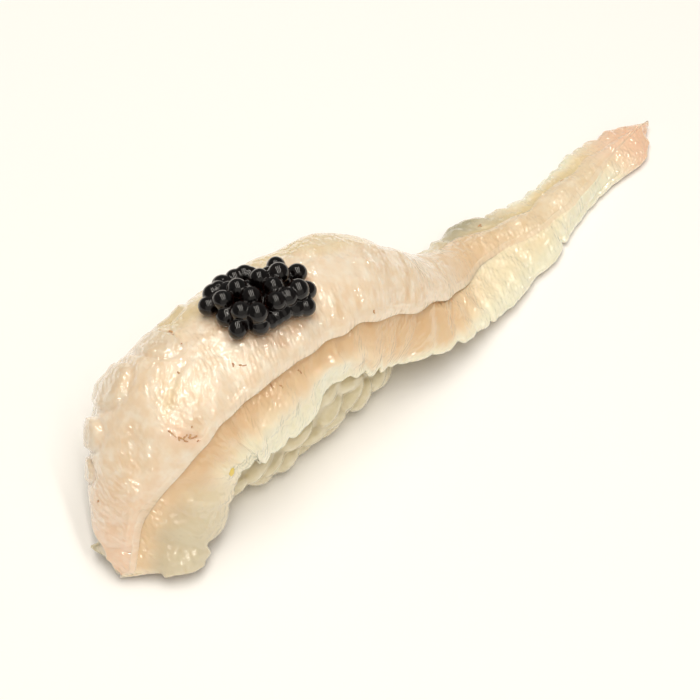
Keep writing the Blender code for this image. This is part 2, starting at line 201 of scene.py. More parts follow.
def rawFishFlesh():
    # raw white fish, cut with a knife: wet and translucent, creamy, with glints in patches
    look = fleshLook
    made, tree, shader = startMaterial("wetRawWhiteFish")
    lie = addNode(tree, "ShaderNodeAttribute", {"attribute_name": "lie"}).outputs["Vector"]
    zone = {name: addNode(tree, "ShaderNodeAttribute", {"attribute_name": name}).outputs["Fac"]
            for name in ("fin", "paintedShade", "rim", "grey", "yellow", "warm", "lip", "muscle", "ribs",
                         "glint", "roeShade")}
    cloud = {}
    for name, (pitch, detail, low, high, most) in look["clouds"].items():
        noise = addNode(tree, "ShaderNodeTexNoise", None,
                        {"Vector": lie, "Scale": 1 / pitch, "Detail": detail})
        share = addNode(tree, "ShaderNodeMapRange", None,
                        {0: noise.outputs[0], 1: low, 2: high, 4: most})
        cloud[name] = share.outputs[0]

    # the muscle's own directions: across its lines, and along them
    parts = addNode(tree, "ShaderNodeSeparateXYZ", None, {0: lie})
    slant = addNode(tree, "ShaderNodeMath", {"operation": "MULTIPLY_ADD"},
                    {0: parts.outputs[1], 1: -look["muscleSlant"], 2: parts.outputs[0]})
    slanted = addNode(tree, "ShaderNodeCombineXYZ", None, {0: slant.outputs[0], 1: parts.outputs[1]})
    stretched = {}
    for name, wide, long in (("line", 1, look["muscleLength"]),
                             ("fibre", look["fibrePitch"], look["fibreLength"]),
                             ("sparkle", look["sparklePitch"], look["sparkleLength"])):
        scaled = addNode(tree, "ShaderNodeMapping", None,
                         {0: slanted.outputs[0], 3: (1 / wide, 1 / long, 1.0)})
        stretched[name] = scaled.outputs[0]
    # at scale 1 the wave texture's lines are 2 pi / 20 apart
    lines = addNode(tree, "ShaderNodeTexWave", {"wave_profile": "SIN"},
                    {"Vector": stretched["line"], "Scale": 2 * math.pi / (20 * look["musclePitch"]),
                     "Distortion": look["muscleWobble"], "Detail": 1.5, "Detail Scale": 1.2})
    streaks = addNode(tree, "ShaderNodeMapRange", None,
                      {0: lines.outputs["Fac"], 1: 0.72, 2: 1.0}).outputs[0]
    for share in (zone["muscle"], cloud["cloudy"]):
        streaks = addNode(tree, "ShaderNodeMath", {"operation": "MULTIPLY"},
                          {0: streaks, 1: share}).outputs[0]

    colour = linear(look["band"])
    tints = [(cloud["cloudy"], "bandDeep"), (cloud["mottled"], "bandPale"), (streaks, "muscle")]
    tints += [(zone[name], name)
              for name in ("yellow", "fin", "paintedShade", "rim", "grey", "warm", "lip", "roeShade")]
    for share, tint in tints:
        colour = addNode(tree, "ShaderNodeMix", {"data_type": "RGBA"},
                         {0: share, 6: colour, 7: linear(look[tint])}).outputs[2]

    # relief: fibres along the muscle, ribs across the fins, sunk muscle lines, wet grain in patches
    grain = addNode(tree, "ShaderNodeTexNoise", None,
                    {"Vector": stretched["sparkle"], "Scale": 1.0, "Detail": 0.0})
    fibres = addNode(tree, "ShaderNodeTexNoise", None,
                     {"Vector": stretched["fibre"], "Scale": 1.0, "Detail": 2.0})
    ribs = addNode(tree, "ShaderNodeTexWave", {"wave_profile": "SIN"},
                   {"Vector": lie, "Scale": 2 * math.pi / (20 * look["ribPitch"]),
                    "Distortion": look["ribWobble"], "Detail": 0.0})
    patchy = addNode(tree, "ShaderNodeMath", {"operation": "MULTIPLY_ADD"},
                     {0: cloud["patchy"], 1: zone["glint"], 2: look["sparkleLeast"]})
    sparkles, fibrous, ribbed = (
        addNode(tree, "ShaderNodeMath", {"operation": "MULTIPLY"}, {0: height, 1: share})
        for height, share in ((grain.outputs[0], patchy.outputs[0]),
                              (fibres.outputs[0], zone["muscle"]),
                              (ribs.outputs["Fac"], zone["ribs"])))
    sunk = addNode(tree, "ShaderNodeMath", {"operation": "SUBTRACT"}, {0: 1.0, 1: streaks})
    normals = [None]  # each relief is laid over the one before
    for height, depth in ((fibrous, "fibreDepth"), (ribbed, "ribDepth"), (sunk, "muscleDepth"),
                          (sparkles, "grainDepth"), (sparkles, "sparkleDepth")):
        relief = {"Strength": 1.0, "Distance": look[depth] * mm, "Height": height.outputs[0]}
        if normals[-1]:
            relief["Normal"] = normals[-1]
        normals.append(addNode(tree, "ShaderNodeBump", None, relief).outputs[0])

    setInputs(tree, shader, {
        "Base Color": colour, "Roughness": look["roughness"], "IOR": look["ior"],
        "Subsurface Weight": 1.0, "Subsurface Radius": look["scatterRadius"],
        "Subsurface Scale": look["scatterDepth"] * mm,
        "Coat Weight": look["coat"], "Coat Roughness": look["coatRoughness"],
        "Coat IOR": look["coatIor"],
        "Normal": normals[-2], "Coat Normal": normals[-1],
    })
    return made


# Where the roe lies and where the camera stands

roeHeap = {
    "middle": (-29.0, 0.0, 26.0), "eggWidth": 3.5, "segments": 24, "rings": 14, "seed": 5,
    "eggSpread": (0.94, 1.05), "squash": ((0.96, 1.06), (0.9, 1.0)),  # unevenness of size and shape
    "clear": 0.1,  # gap between the flesh and the eggs that lie on it
    "voxel": 0.16, "brine": 7,  # cell of the skin that joins the eggs, and how far it is smoothed
    # eggs in sight, (right, up) of the middle as the camera sees them: on the flesh, then on others
    "lower": [(-8.9, -0.1), (-8.1, 1.8), (-7.1, 2.3), (-6.1, 4.6), (-3.1, 4.9), (2.0, 6.2),
              (5.4, 5.2), (6.8, 2.3), (6.8, -0.2), (4.3, -0.1), (-6.0, -1.7), (-4.1, -3.8),
              (-0.7, -3.1), (2.0, -1.8)],
    "upper": [(-4.2, 2.8), (-0.7, 4.4), (2.4, 5.2), (5.6, 2.5), (2.0, 0.7), (1.6, 3.1), (-6.5, 0.9),
              (-2.0, 1.4), (-3.7, -0.9), (-1.0, -1.2), (3.8, 1.4)],
    "upperRise": 0.55, "unevenRise": 0.3,  # the upper eggs' height, in egg widths, and its spread
    # eggs under the upper ones: how many, and the middle, reach and spacing of their patch
    "hidden": 20, "hiddenMiddle": (-1.0, 1.2), "hiddenReach": (7.0, 3.8), "hiddenSpacing": 2.2,
    "roeShade": 0.34, "roeShadeReach": (10.0, 8.0),  # how strongly the painted shade round the roe shows, and how far
}

studio = {
    "floor": "#fdfcf9", "floorPale": "#ffffff", "floorRoughness": 0.8,
    "floorSize": 1.6, "floorCloud": 0.3,  # metres
    "world": "#fffdf8", "worldStrength": 0.2,
    "target": (-17.63, -8.29, 12.0), "distance": 320, "azimuth": -46, "elevation": 50,
    "lens": 98.7, "sensor": 36.0,
    # area lights: place in metres, size in metres, watts, colour
    "softboxes": [
        ("softTop", (-0.05, 0.25, 0.75), (0.45, 0.45), 0.1, "#fff6e8"),
        ("frontFill", (-0.45, -0.7, 0.4), (1.4, 1.0), 2.1, "#fff6ea"),
    ],
    # lamps side by side overhead; their glints stand in a row on the roe
    "lamps": {"count": 3, "apart": 0.17, "size": (0.03, 0.9), "height": 0.6, "turn": 18,
              "watts": 1.45, "colour": "#fff8ee"},
}


def cameraPlace():
    # where the camera stands, and its right, up and back directions
    a, e = math.radians(studio["azimuth"]), math.radians(studio["elevation"])
    back = Vector((math.sin(a) * math.cos(e), -math.cos(a) * math.cos(e), math.sin(e)))
    right = Vector((math.cos(a), math.sin(a), 0))
    return (Vector(studio["target"]) + back * studio["distance"]) * mm, right, back.cross(right), back


# Fish strip

fishStrip = {
    "rows": 560, "spineSteps": 1600, "crowding": 0.25,  # crowding brings rows closer at both ends
    "ends": (-69.4, 70.2), "endTips": (-0.5, 0.3), "floorGap": 0.25,
    "settle": (-0.426, 0.701, 0.09),  # where the whole stands once it is centred
    # spine of the strip: (x, height) and (x, sideways)
    "rise": [(-71, 0.5), (-69, 0.9), (-66, 3.2), (-62, 8.6), (-57, 14.8), (-50, 19.4), (-40, 20.8),
             (-24, 20.8), (-13, 19.4), (-6, 16.2), (0, 11), (6, 6), (12, 2.9), (20, 1.3),
             (32, 0.6), (71, 0.6)],
    "sway": [(-70, -9.4), (-62, -5.8), (-50, -1.2), (-37, 0), (-20, 0), (-10, -1.2), (0, -3.2),
             (9, -4.0), (20, -5.0), (34, -6.0), (48, -5.7), (60, -4.9), (71, -4.4)],
    # widths measured over the surface: (x, width)
    "bandFront": [(-70, 2.2), (-67, 2.2), (-65, 1.9), (-62, 2.1), (-59, 4.0), (-56, 6.0),
                  (-50, 7.7), (-42, 8.4), (-26, 9), (-14, 9.4), (-6, 9.2), (2, 7.6), (10, 5.8),
                  (16, 3.9), (22, 2.8), (30, 3.6), (42, 3.4), (54, 1.6), (62, 0.4), (71, 0)],
    "bandBack": [(-70, 2.2), (-66.5, 3.4), (-65, 5.0), (-63, 7.4), (-60, 9.4), (-50, 11.6),
                 (-38, 12), (-20, 11), (-6, 7), (6, 4.8), (16, 4.2), (26, 2.6), (34, 2), (46, 2.3),
                 (56, 1.6), (64, 0.5), (71, 0)],
    "finFront": [(-70, 0.8), (-69, 2.6), (-68, 4.2), (-66.6, 9.4), (-63, 14.6), (-56, 16.4),
                 (-50, 18.1), (-40, 18.8), (-31, 19), (-26, 16), (-20, 16.8), (-10, 17.9),
                 (-2, 16.4), (6, 14), (14, 12.5), (20, 11.4), (26, 9.5), (30, 9.2), (38, 6.3),
                 (54, 4.7), (59, 5.4), (63, 5.2), (65.4, 3.7), (66.4, 3.3), (67.2, 1.9),
                 (68.6, 1.1), (70.3, 0.15)],
    "finBack": [(-70, 0.9), (-69, 2.0), (-67.7, 2.6), (-67.0, 6.2), (-66.2, 5.4), (-65, 6.0),
                (-62, 9.4), (-57, 14), (-50, 19), (-40, 21), (-20, 21), (-8, 18.5), (2, 11.4),
                (8, 7.4), (12, 7), (18, 7.8), (23, 8.8), (28, 7.2), (36, 5.6), (46, 5.6),
                (54, 6.2), (61, 4.6), (63.4, 4.2), (65.8, 2.9), (67.7, 1.5), (70.3, 0.15)],
    # the arch that it lies over: (x, half width), and how square it is
    "archFront": [(-70, 11), (-60, 12), (-48, 14), (-26, 14.4), (-6, 14.2), (6, 15.2), (20, 15),
                  (71, 10)],
    "archBack": [(-70, 8), (-63, 9.4), (-58, 13.4), (-52, 16.2), (-44, 16.6), (-32, 15),
                 (-20, 14.6), (-12, 15.4), (-6, 14.4), (2, 11), (10, 10.6), (24, 12), (71, 10)],
    "squareFront": [(-70, 2.6), (71, 2.6)],
    "squareBack": [(-70, 2.6), (-20, 2.6), (-10, 2.6), (-4, 2.3), (4, 2), (14, 2.2), (71, 2.4)],
    "leastUpright": 0.3,  # keeps the arch short where the strip runs steeply down
    # limits: the fins' width as a share of the arch and in mm, the band's as shares of the fins'
    "finReach": 0.97, "narrowest": 0.3, "bandShare": (0.1, 0.92),
    # thickness of the flesh, the band's as (x, thickness)
    "bandThickness": [(-70, 2.6), (-64, 3.9), (-54, 5.0), (-38, 5.6), (-16, 5.4), (4, 4.9),
                      (24, 4.4), (44, 3.7), (60, 2.7), (68, 2.1), (71, 1.2)],
    "finThickness": 2.1, "finEdge": 1.15, "flapShare": 0.62, "tailPlump": 0.85, "edgeRound": 0.7,
    # the lip, where the band stands over the front fin: its height as a share of the band's,
    # the least that is left of it, how far it is undercut, and where it rises and fades
    "lipShare": 0.68, "lipLeast": (0.3, 0.15), "undercut": 1.3, "lipClearance": 0.35,
    "lipRound": 0.9, "stepFade": 2.5, "lipRise": (3, 33), "lipFall": (108, 86),
    # the step down from the band to the back fin, and what the nose adds to it: height, none, all
    "backStep": 0.2, "noseStep": (0.7, 9, 5),
    "noseRound": 2.4, "tongueRound": (0.1, 1.8),
    "mergeTail": (84, 110), "mergeShare": 0.6,  # where the fins run into the band, how thick there
    # the fins' lobes, front and back: phase, and how much calmer they are over a stretch
    "lobePhases": (0.4, 1.9), "lobeCalm": [(0.75, 90, 108), (0.7, 64, 50)],
    "lobePitch": 4.6, "lobeDepth": 0.9, "lobeSwell": 0.35, "lobeFade": (4, 9),
    # how far the band's front and back edges wander, with pitch and seed
    "wander": [(0.22, 7.0, 21), (0.5, 9.0, 22)],
    # small notches between the fins' rays: pitch and depth, then the pitch and depth of their drift
    "frill": (1.7, 0.1, 3.4, 0.22),
    # small nicks in the edges: (along, side, depth, half width)
    "nicks": [(5.6, 0, 0.7, 0.5), (7.6, 0, 1.7, 0.9), (14.0, 0, 0.7, 0.6), (119.5, 0, 0.8, 0.5),
              (96, 0, 0.7, 0.4), (141, 1, 0.5, 0.5), (112.5, 1, 0.8, 0.6),
              (31.5, 1, 1.0, 1.0), (24.0, 1, 1.1, 0.9), (17.5, 1, 0.9, 0.8)],
    # a lobe of the end edge: its sides across, their slope, its reach, and where it fades
    "noseLobe": (-6.0, -10.6, 0.9, 1.2, 7),
    "weldGap": 0.004,  # the two end points of the sleeve close within this
}


def stripRows():
    # x of each section, spaced evenly along the spine and closer at both ends, with its run
    spec = fishStrip
    fine = np.linspace(*spec["ends"], spec["spineSteps"])
    points = np.stack([fine, through(spec["sway"], fine), through(spec["rise"], fine)], axis=1)
    run = np.concatenate([[0], np.cumsum(np.linalg.norm(np.diff(points, axis=0), axis=1))])
    share = np.linspace(0, 1, spec["rows"])
    share = share - spec["crowding"] * np.sin(2 * math.pi * share) / (2 * math.pi)
    return np.interp(share * run[-1], run, fine), share * run[-1]


def spineFrames(x):
    # origin, sideways and outward directions of each section
    spec = fishStrip

    def at(place):
        return np.stack([place, through(spec["sway"], place), through(spec["rise"], place)], axis=-1)

    step = 0.2
    along = at(x + step) - at(x - step)
    along /= np.linalg.norm(along, axis=-1, keepdims=True)
    across = np.cross(np.array([0.0, 0.0, 1.0]), along)
    across /= np.linalg.norm(across, axis=-1, keepdims=True)
    return at(x), across, np.cross(along, across)


def crowns(run, phase):
    # 0 at a notch between two lobes, 1 at the crown of a lobe
    wander = 0.35 * np.sin(run / 7.3 + phase) + 0.2 * np.sin(run / 3.1 + 2 * phase)
    return np.abs(np.sin(math.pi * run / fishStrip["lobePitch"] + wander + phase)) ** 0.7


def frill(run, side):
    # small notches between the fin's rays along its edge
    pitch, depth, slowPitch, slowDepth = fishStrip["frill"]
    ray = np.abs(np.sin(math.pi * run / pitch + 1.3 * np.sin(run / 2.7 + side) + side)) ** 1.6
    return depth * (ray - 0.8) + slowDepth * ripple(run, 0 * run, slowPitch, 31 + side)


def within(zones, names, runs):
    # 1 on the columns of these zones, 0 elsewhere
    return np.isin(zones, names)[None, :] + 0 * runs


class StripShape:
    # Sections of the strip at many places at once; places a point by its run across and its height

    def __init__(self, x, run):
        spec = fishStrip
        self.run = run
        self.origin, self.across, self.outward = spineFrames(x)
        upright = np.maximum(self.outward[:, 2], spec["leastUpright"])
        tall = (self.origin[:, 2] - spec["floorGap"]) / upright
        turn = np.linspace(0, math.pi / 2, 60)
        self.arches = []
        for wide, square in (("archFront", "squareFront"), ("archBack", "squareBack")):
            power = 2 / through(spec[square], x)[:, None]
            side = through(spec[wide], x)[:, None] * np.sin(turn) ** power
            drop = tall[:, None] * (1 - np.clip(np.cos(turn), 0, 1) ** power)
            steps = np.hypot(np.diff(side), np.diff(drop))
            length = np.concatenate([np.zeros((len(x), 1)), np.cumsum(steps, axis=1)], axis=1)
            self.arches.append((length, side, drop))

        # how far each fin reaches: a smooth width, with lobes, frills and nicks
        (first, last), (noseFade, tailFade) = spec["ends"], spec["lobeFade"]
        fade = soft(0, noseFade, x - first) * soft(0, tailFade, last - x)
        self.swell = spec["lobeSwell"] * fade
        nose = roundedEnd(run / spec["noseRound"])
        self.plump, self.edge, fins = [], [], []
        for side, fin in enumerate(("finFront", "finBack")):
            phase = spec["lobePhases"][side]
            bulge = math.pi * run / spec["lobePitch"] + 0.5 * np.sin(run / 7.3 + phase) + phase
            self.plump.append(np.sin(bulge) ** 2)
            most, start, full = spec["lobeCalm"][side]
            calm = 1 - most * soft(start, full, run)
            depth = spec["lobeDepth"] * calm * (0.65 + 0.5 * ripple(run, 0 * run, 17, 60 + side))
            fins.append(through(spec[fin], x))
            notches = depth * (crowns(run, phase) - 0.6) + calm * frill(run, side)
            edge = fins[side] + fade * notches
            for place, where, deep, half in spec["nicks"]:
                if where == side:
                    edge = edge - deep * np.exp(-((run - place) / half) ** 2)
            reach = self.arches[side][0][:, -1] * spec["finReach"]
            self.edge.append(np.minimum(np.maximum(edge, spec["narrowest"]), reach) * nose)

        # how far the band reaches on each side; it ends in a round tongue at the nose
        first, long = spec["tongueRound"]
        tongue = roundedEnd((run - first) / long)
        least, most = spec["bandShare"]
        self.band = []
        for side, half in enumerate(("bandFront", "bandBack")):
            far, pitch, seed = spec["wander"][side]
            full = through(spec[half], x) + fade * far * ripple(run, 0 * run, pitch, seed)
            self.band.append(tongue * np.clip(full, least * fins[side], most * self.edge[side]))

        # thickness of the band (top) and of the fins (flap), and the lip's step between them
        thin = roundedEnd(run / (2 * spec["noseRound"]))
        self.top = through(spec["bandThickness"], x) * (0.3 + 0.7 * thin)
        self.flap = np.minimum(spec["finThickness"], spec["flapShare"] * self.top)
        self.top = self.flap + (self.top - self.flap) * tongue
        self.step = soft(0, 1, (self.edge[0] - self.band[0]) / spec["stepFade"])
        self.step = self.step * soft(*spec["lipRise"], run) * soft(*spec["lipFall"], run)

        # heights where fins and band meet: in the tail they run into each other
        rise, leastStep = spec["lipLeast"]
        noseRise, none, whole = spec["noseStep"]
        merge = soft(*spec["mergeTail"], run)
        joined = self.flap + spec["mergeShare"] * (self.top - self.flap)
        high = self.top * spec["lipShare"] - self.flap - rise
        lip = self.flap + rise + high * np.maximum(self.step, leastStep)
        rear = self.flap + spec["backStep"] + noseRise * soft(none, whole, run)
        self.merge = merge
        self.root = self.flap + (joined - self.flap) * merge
        self.brink = [lip + (joined - lip) * merge, rear + (joined - rear) * merge]

    def borders(self):
        # front and back edge of the fins and of the band, as a column for each
        return [side[:, None] for side in self.edge + self.band]

    def point(self, rows, run, height):
        # places of points this far across these rows and this far above the arch that they lie on
        out = np.empty((len(run), 3))
        near = 0.3  # the arch's slope is read this far to both sides
        for side in (0, 1):
            length, wide, drop = self.arches[side]
            pick = (run < 0) if side == 0 else (run >= 0)
            for row in np.unique(rows[pick]):
                here = pick & (rows == row)
                at = np.abs(run[here])
                (wide0, wide1, wideHere), (drop0, drop1, dropHere) = (
                    [np.interp(place, length[row], curve[row])
                     for place in (np.maximum(at - near, 0), at + near, at)]
                    for curve in (wide, drop))
                dx, dy = wide1 - wide0, drop0 - drop1
                size = np.maximum(np.hypot(dx, dy), 1e-9)  # never nought, for the division
                b = wideHere - dy / size * height[here]
                n = -dropHere + dx / size * height[here]
                sign = -1 if side == 0 else 1
                out[here] = (self.origin[row] + self.across[row] * (sign * b)[:, None]
                             + self.outward[row] * n[:, None])
        out[:, 2] = np.maximum(out[:, 2], fishStrip["floorGap"])
        return out

    def finHeight(self, side, share):
        # thickness of the fin, share 0 at its edge and 1 where the band begins
        spec = fishStrip
        swell = self.swell * (self.plump[side] - 0.5) * 4 * share * (1 - share)
        swell = swell * (1 - 0.6 * self.merge)
        edge = spec["finEdge"] * self.flap / spec["finThickness"]
        edge = edge * (1 + side * spec["tailPlump"] * self.merge)
        return edge + (self.root - edge) * share ** (1 - 0.35 * self.merge) + swell

    def bandHeight(self, run):
        # thickness of the band: fullest over the spine, lower at its lip and at its back edge
        share = np.where(run < 0, np.abs(run) / self.band[0], run / self.band[1])
        low = np.where(run < 0, *self.brink)
        return low + (self.top - low) * (1 - np.minimum(share, 1) ** 2.2)

    def loops(self):
        # (run, height) of every column of every row, with the zone of each column
        spec = fishStrip
        front, back = self.edge
        lip, rear = self.band
        cut = np.minimum(spec["undercut"] * self.step, 0.5 * lip)
        lid = self.root + spec["lipClearance"] * self.step
        rounding = np.minimum(spec["lipRound"], 0.4 * lip)
        rim = np.minimum(spec["edgeRound"], 0.3 * np.minimum(front, back))
        face = self.bandHeight(-lip)
        columns, zones = [], []

        def add(zone, run, height):
            columns.append((run, height))
            zones.append(zone)

        for t in np.linspace(0.02, 1, 16):
            add("under", -(front - rim) * t, 0 * front)
        for turn in np.linspace(-70, 70, 6):
            edge = self.finHeight(0, 0)
            s, c = math.sin(math.radians(turn)), math.cos(math.radians(turn))
            add("frontRim", -(front - rim) - rim * c, edge * (0.5 + 0.5 * s))
        for t in np.linspace(0, 1, 38):
            add("frontFin", -front + rim + (front - rim - lip) * t, self.finHeight(0, max(t, 0.02)))
        for t in (0.25, 0.55, 0.85, 1.0):
            add("frontFin", -lip + cut * t, self.root * (1 - 0.1 * t * self.step))
        for t in (0.25, 0.6, 1.0):
            low = self.root * (1 - 0.1 * self.step)
            add("lip", -lip + cut * (1 - 0.65 * t), low + (lid - low) * t)
        for t in (0.25, 0.5, 0.75):
            add("lip", -lip + cut * (0.35 - 0.5 * t), lid + (face - lid) * 0.45 * t * t)
        for t in np.linspace(0, 1, 8):
            turn = t * math.pi / 2
            low = lid + 0.38 * (face - lid)
            run = -lip - 0.15 * self.step * (1 - t) + rounding * (1 - math.cos(turn))
            add("lip", run, low + (self.bandHeight(run) - low) * math.sin(turn))
        for t in np.linspace(0.97, 0, 24):
            run = -(lip - rounding) * t - 0.01
            add("band", run, self.bandHeight(run))
        for t in np.linspace(0.03, 1, 26):
            add("band", rear * t, self.bandHeight(rear * t))
        for t in np.linspace(0.03, 1, 27):
            add("backFin", rear + (back - rim - rear) * t, self.finHeight(1, 1 - t))
        for turn in np.linspace(70, -70, 6):
            edge = self.finHeight(1, 0)
            s, c = math.sin(math.radians(turn)), math.cos(math.radians(turn))
            add("backRim", back - rim + rim * c, edge * (0.5 + 0.5 * s))
        for t in np.linspace(1, 0.02, 14):
            add("under", (back - rim) * t, 0 * back)
        runs = np.stack([c[0] for c in columns], axis=1)
        heights = np.stack([c[1] for c in columns], axis=1)
        return runs, heights, np.array(zones)


# details of the surface, placed by (along, across) and turned in degrees from the strip's length;
# a stretch runs along the strip: from where it starts and is full to where it fades and ends
fleshFeatures = {
    # (along, across, half length, half width, turn, depth)
    "dents": [(30.2, -0.9, 1.4, 0.5, 14, 0.22), (28.0, -1.4, 1.3, 0.7, 10, 0.3),
              (32.2, -0.3, 1.2, 0.4, 14, 0.14), (38.7, -2.9, 1.1, 0.16, -45, 0.2),
              (25.4, -5.2, 0.5, 3.0, 12, 0.16), (5.0, 1.2, 0.35, 1.4, 30, 0.2),
              (4.7, -0.7, 0.35, 1.2, -12, 0.2), (4.3, -1.6, 1.6, 0.25, 0, 0.16),
              (9.6, 1.0, 0.5, 4.0, 20, 0.14), (13.5, 0.5, 0.5, 4.5, 25, 0.14),
              (17.0, 1.5, 0.5, 4.0, 28, 0.12), (39.0, -3.0, 1.6, 0.3, -40, 0.1),
              (21.5, 2.0, 0.5, 3.5, 20, 0.08)],
    # lobes of the back that lie on the band: (along, across, half length, half width, lift)
    "pads": [(34.5, 6.4, 2.3, 4.2, 0.45), (27.6, 10.2, 3.5, 4.9, 0.6), (20.6, 10.6, 2.7, 4.3, 0.6),
             (14.8, 9.6, 2.2, 3.2, 0.4), (41.2, 12.4, 3.7, 4.4, 0.4), (49.0, 13.4, 3.6, 3.8, 0.3)],
    # broad swells of the back, written the same way
    "swells": [(69, 7, 9, 9, 1.0), (80.5, 7, 6, 7, -0.6)],
    # blush round the vessels: (along, across, half length, half width, turn)
    "bruise": (24.8, -4.6, 1.2, 2.4, 0),
    # uneven relief of the band and of the fins: (height, pitch)
    "bandRipples": [(0.26, 12), (0.09, 3.6)], "finRipples": [(0.24, 6.0), (0.1, 2.8), (0.035, 1.5)],
    "muscleHeight": 0.12, "muscleStretch": (56, 62, 104, 122),
    "rayHeight": 0.03, "rayPitch": 2.6,
    "foldHeight": 0.7, "foldStretch": (14, 28, 60, 76),  # the long fold of the front fin
    "creaseDepth": 0.3,  # round each pad
}


def dimple(along, across, middle, place, long, wide, turn):
    # 1 in the middle of a slim hollow, 0 outside it
    c, s = math.cos(math.radians(turn)), math.sin(math.radians(turn))
    u, v = along - middle, across - place
    return np.exp(-((u * c + v * s) / long) ** 2 - ((v * c - u * s) / wide) ** 2)


def padReach(along, across, middle, place, long, wide):
    # 0 in the middle of a lobe and 1 at its border
    power = 2.4  # squarer than an ellipse
    reach = np.abs((along - middle) / long) ** power + np.abs((across - place) / wide) ** power
    return reach ** (1 / power)


def fleshRelief(shape, runs, zones):
    # how far the flesh stands above or below its even section, in millimetres
    spec = fleshFeatures
    along = shape.run[:, None] + 0 * runs
    onBand, onFront, onBack = (within(zones, [name], runs)
                               for name in ("band", "frontFin", "backFin"))
    front, back, lip, rear = shape.borders()
    relief = 0 * runs

    # the band: slow swells, dents and the slanting muscle lines
    inner = soft(0, 1.6, runs + lip) * soft(0, 2.0, rear - runs)
    relief += onBand * inner * sum(height * ripple(along, runs, pitch, seed)
                                   for seed, (height, pitch) in enumerate(spec["bandRipples"], 1))
    slant = along - fleshLook["muscleSlant"] * runs + 0.7 * ripple(along, runs, 9, 3)
    lines = np.abs(np.sin(math.pi * slant / fleshLook["musclePitch"])) ** 0.4
    muscle = stretch(along, *spec["muscleStretch"]) * soft(-0.3, 0.5, ripple(along, runs, 14, 4))
    relief += onBand * inner * spec["muscleHeight"] * muscle * (lines - 0.9)
    for middle, place, long, wide, turn, depth in spec["dents"]:
        relief -= onBand * depth * dimple(along, runs, middle, place, long, wide, turn)

    # back lobes lie on the band like pads, each with a crease round it
    for middle, place, long, wide, lift in spec["pads"]:
        reach = padReach(along, runs, middle, place, long, wide)
        lift = lift * (1 + 0.6 * soft(6, 12, runs))
        crease = spec["creaseDepth"] * hump(reach, 1.05, 0.13)
        relief += (onBand + onBack) * (lift * soft(1.0, 0.75, reach) - crease)

    # the fins: lobes, rays that fan out to the edge, and a long fold beside the band
    shareFront = np.clip((front + runs) / (front - lip), 0, 1)
    shareBack = np.clip((back - runs) / (back - rear), 0, 1)
    steep = 1 - 0.5 * soft(98, 84, along)  # the fins are calmer where they hang beside the rice
    (broad, broadPitch), (small, smallPitch), (fine, finePitch) = spec["finRipples"]
    for on, share, seed in ((onFront, shareFront, 5), (onBack, shareBack, 6)):
        fan = math.pi * (along - 0.25 * runs) / spec["rayPitch"]
        rays = np.sin(fan + 1.6 * np.sin(along / 3.7 + seed))
        relief += on * soft(0.95, 0.3, share) * spec["rayHeight"] * steep * rays
        swells = broad * ripple(along, runs, broadPitch, seed, 1.6)
        swells += small * steep * ripple(along, runs, smallPitch, seed + 2)
        swells += fine * steep * ripple(along, runs, finePitch, seed + 4)
        calmRoot = soft(1.0, 0.85, share) * (0.4 + 0.6 * soft(0, 0.3, share))
        relief += on * swells * (0.5 + 0.5 * steep) * calmRoot
    fold = hump(shareFront, 0.48 + 0.1 * np.sin(along / 6), 0.2)
    relief += onFront * fold * spec["foldHeight"] * stretch(along, *spec["foldStretch"])
    for middle, place, long, wide, lift in spec["swells"]:
        reach = padReach(along, runs, middle, place, long, wide)
        relief += (onBand + onBack) * lift * soft(1.0, 0.0, reach)
    return relief * (1 - 0.65 * soft(134, 144, along)) * (1 - 0.5 * soft(112, 122, along) * onBack)


def fishStripPiece():
    # a grid rolled into a closed sleeve: each row is a section, and both ends are drawn to a point
    spec = fishStrip
    x, run = stripRows()
    shape = StripShape(x, run)
    runs, heights, zones = shape.loops()
    heights = np.maximum(heights + fleshRelief(shape, runs, zones) * (heights > 0.3), 0)
    rows, columns = runs.shape
    rowOf = np.repeat(np.arange(rows), columns)
    places = shape.point(rowOf, runs.ravel(), heights.ravel()).reshape(rows, columns, 3)
    inner, outer, slope, reach, fade = spec["noseLobe"]
    ahead = np.cross(shape.across, shape.outward)[:, None, :]
    lobe = reach * soft(inner, inner - slope, runs) * soft(outer - slope, outer, runs)
    places -= ahead * (lobe * soft(fade, 0, run)[:, None])[..., None]
    tips = []
    for row, beyond in zip((0, -1), spec["endTips"]):
        centre = places[row].mean(axis=0)
        centre[0] += beyond
        centre[2] = max(centre[2], spec["floorGap"])
        tips.append(np.repeat(centre[None], columns, axis=0))
    places = np.concatenate([tips[0][None], places, tips[1][None]]) + np.array(spec["settle"])
    low, high = (np.array(corner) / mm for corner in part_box("fish_strip"))
    places = np.clip(places, low, high)

    bm = bmesh.new()
    bmesh.ops.create_grid(bm, x_segments=columns, y_segments=rows + 1, size=0.5)
    corners = np.array([vert.co for vert in bm.verts])
    column = np.round((corners[:, 0] + 0.5) * columns).astype(int) % columns
    row = np.round((corners[:, 1] + 0.5) * (rows + 1)).astype(int)
    for vert, place in zip(bm.verts, places[row, column] * mm):
        vert.co = place
    inside = np.clip(row - 1, 0, rows - 1)
    paint = zonePaint(shape, runs, zones)
    # painted contact shade on the flesh round the roe
    paint["roeShade"] = paintedRoeShade(places[1:-1], heights)
    layer = bm.verts.layers.float_vector.new("lie")
    lie = np.stack([np.repeat(shape.run[:, None], columns, axis=1), runs, heights], axis=-1)
    for vert, value in zip(bm.verts, lie[inside, column]):
        vert[layer] = value
    for name, values in paint.items():
        layer = bm.verts.layers.float.new(name)
        for vert, value in zip(bm.verts, values[inside, column]):
            vert[layer] = value
    bmesh.ops.remove_doubles(bm, verts=bm.verts, dist=spec["weldGap"] * mm)
    bmesh.ops.recalc_face_normals(bm, faces=bm.faces)
    made = meshPiece("fishStrip", bm, rawFishFlesh())
    print("fish strip:", len(made.data.polygons), "faces")
    return made, shape


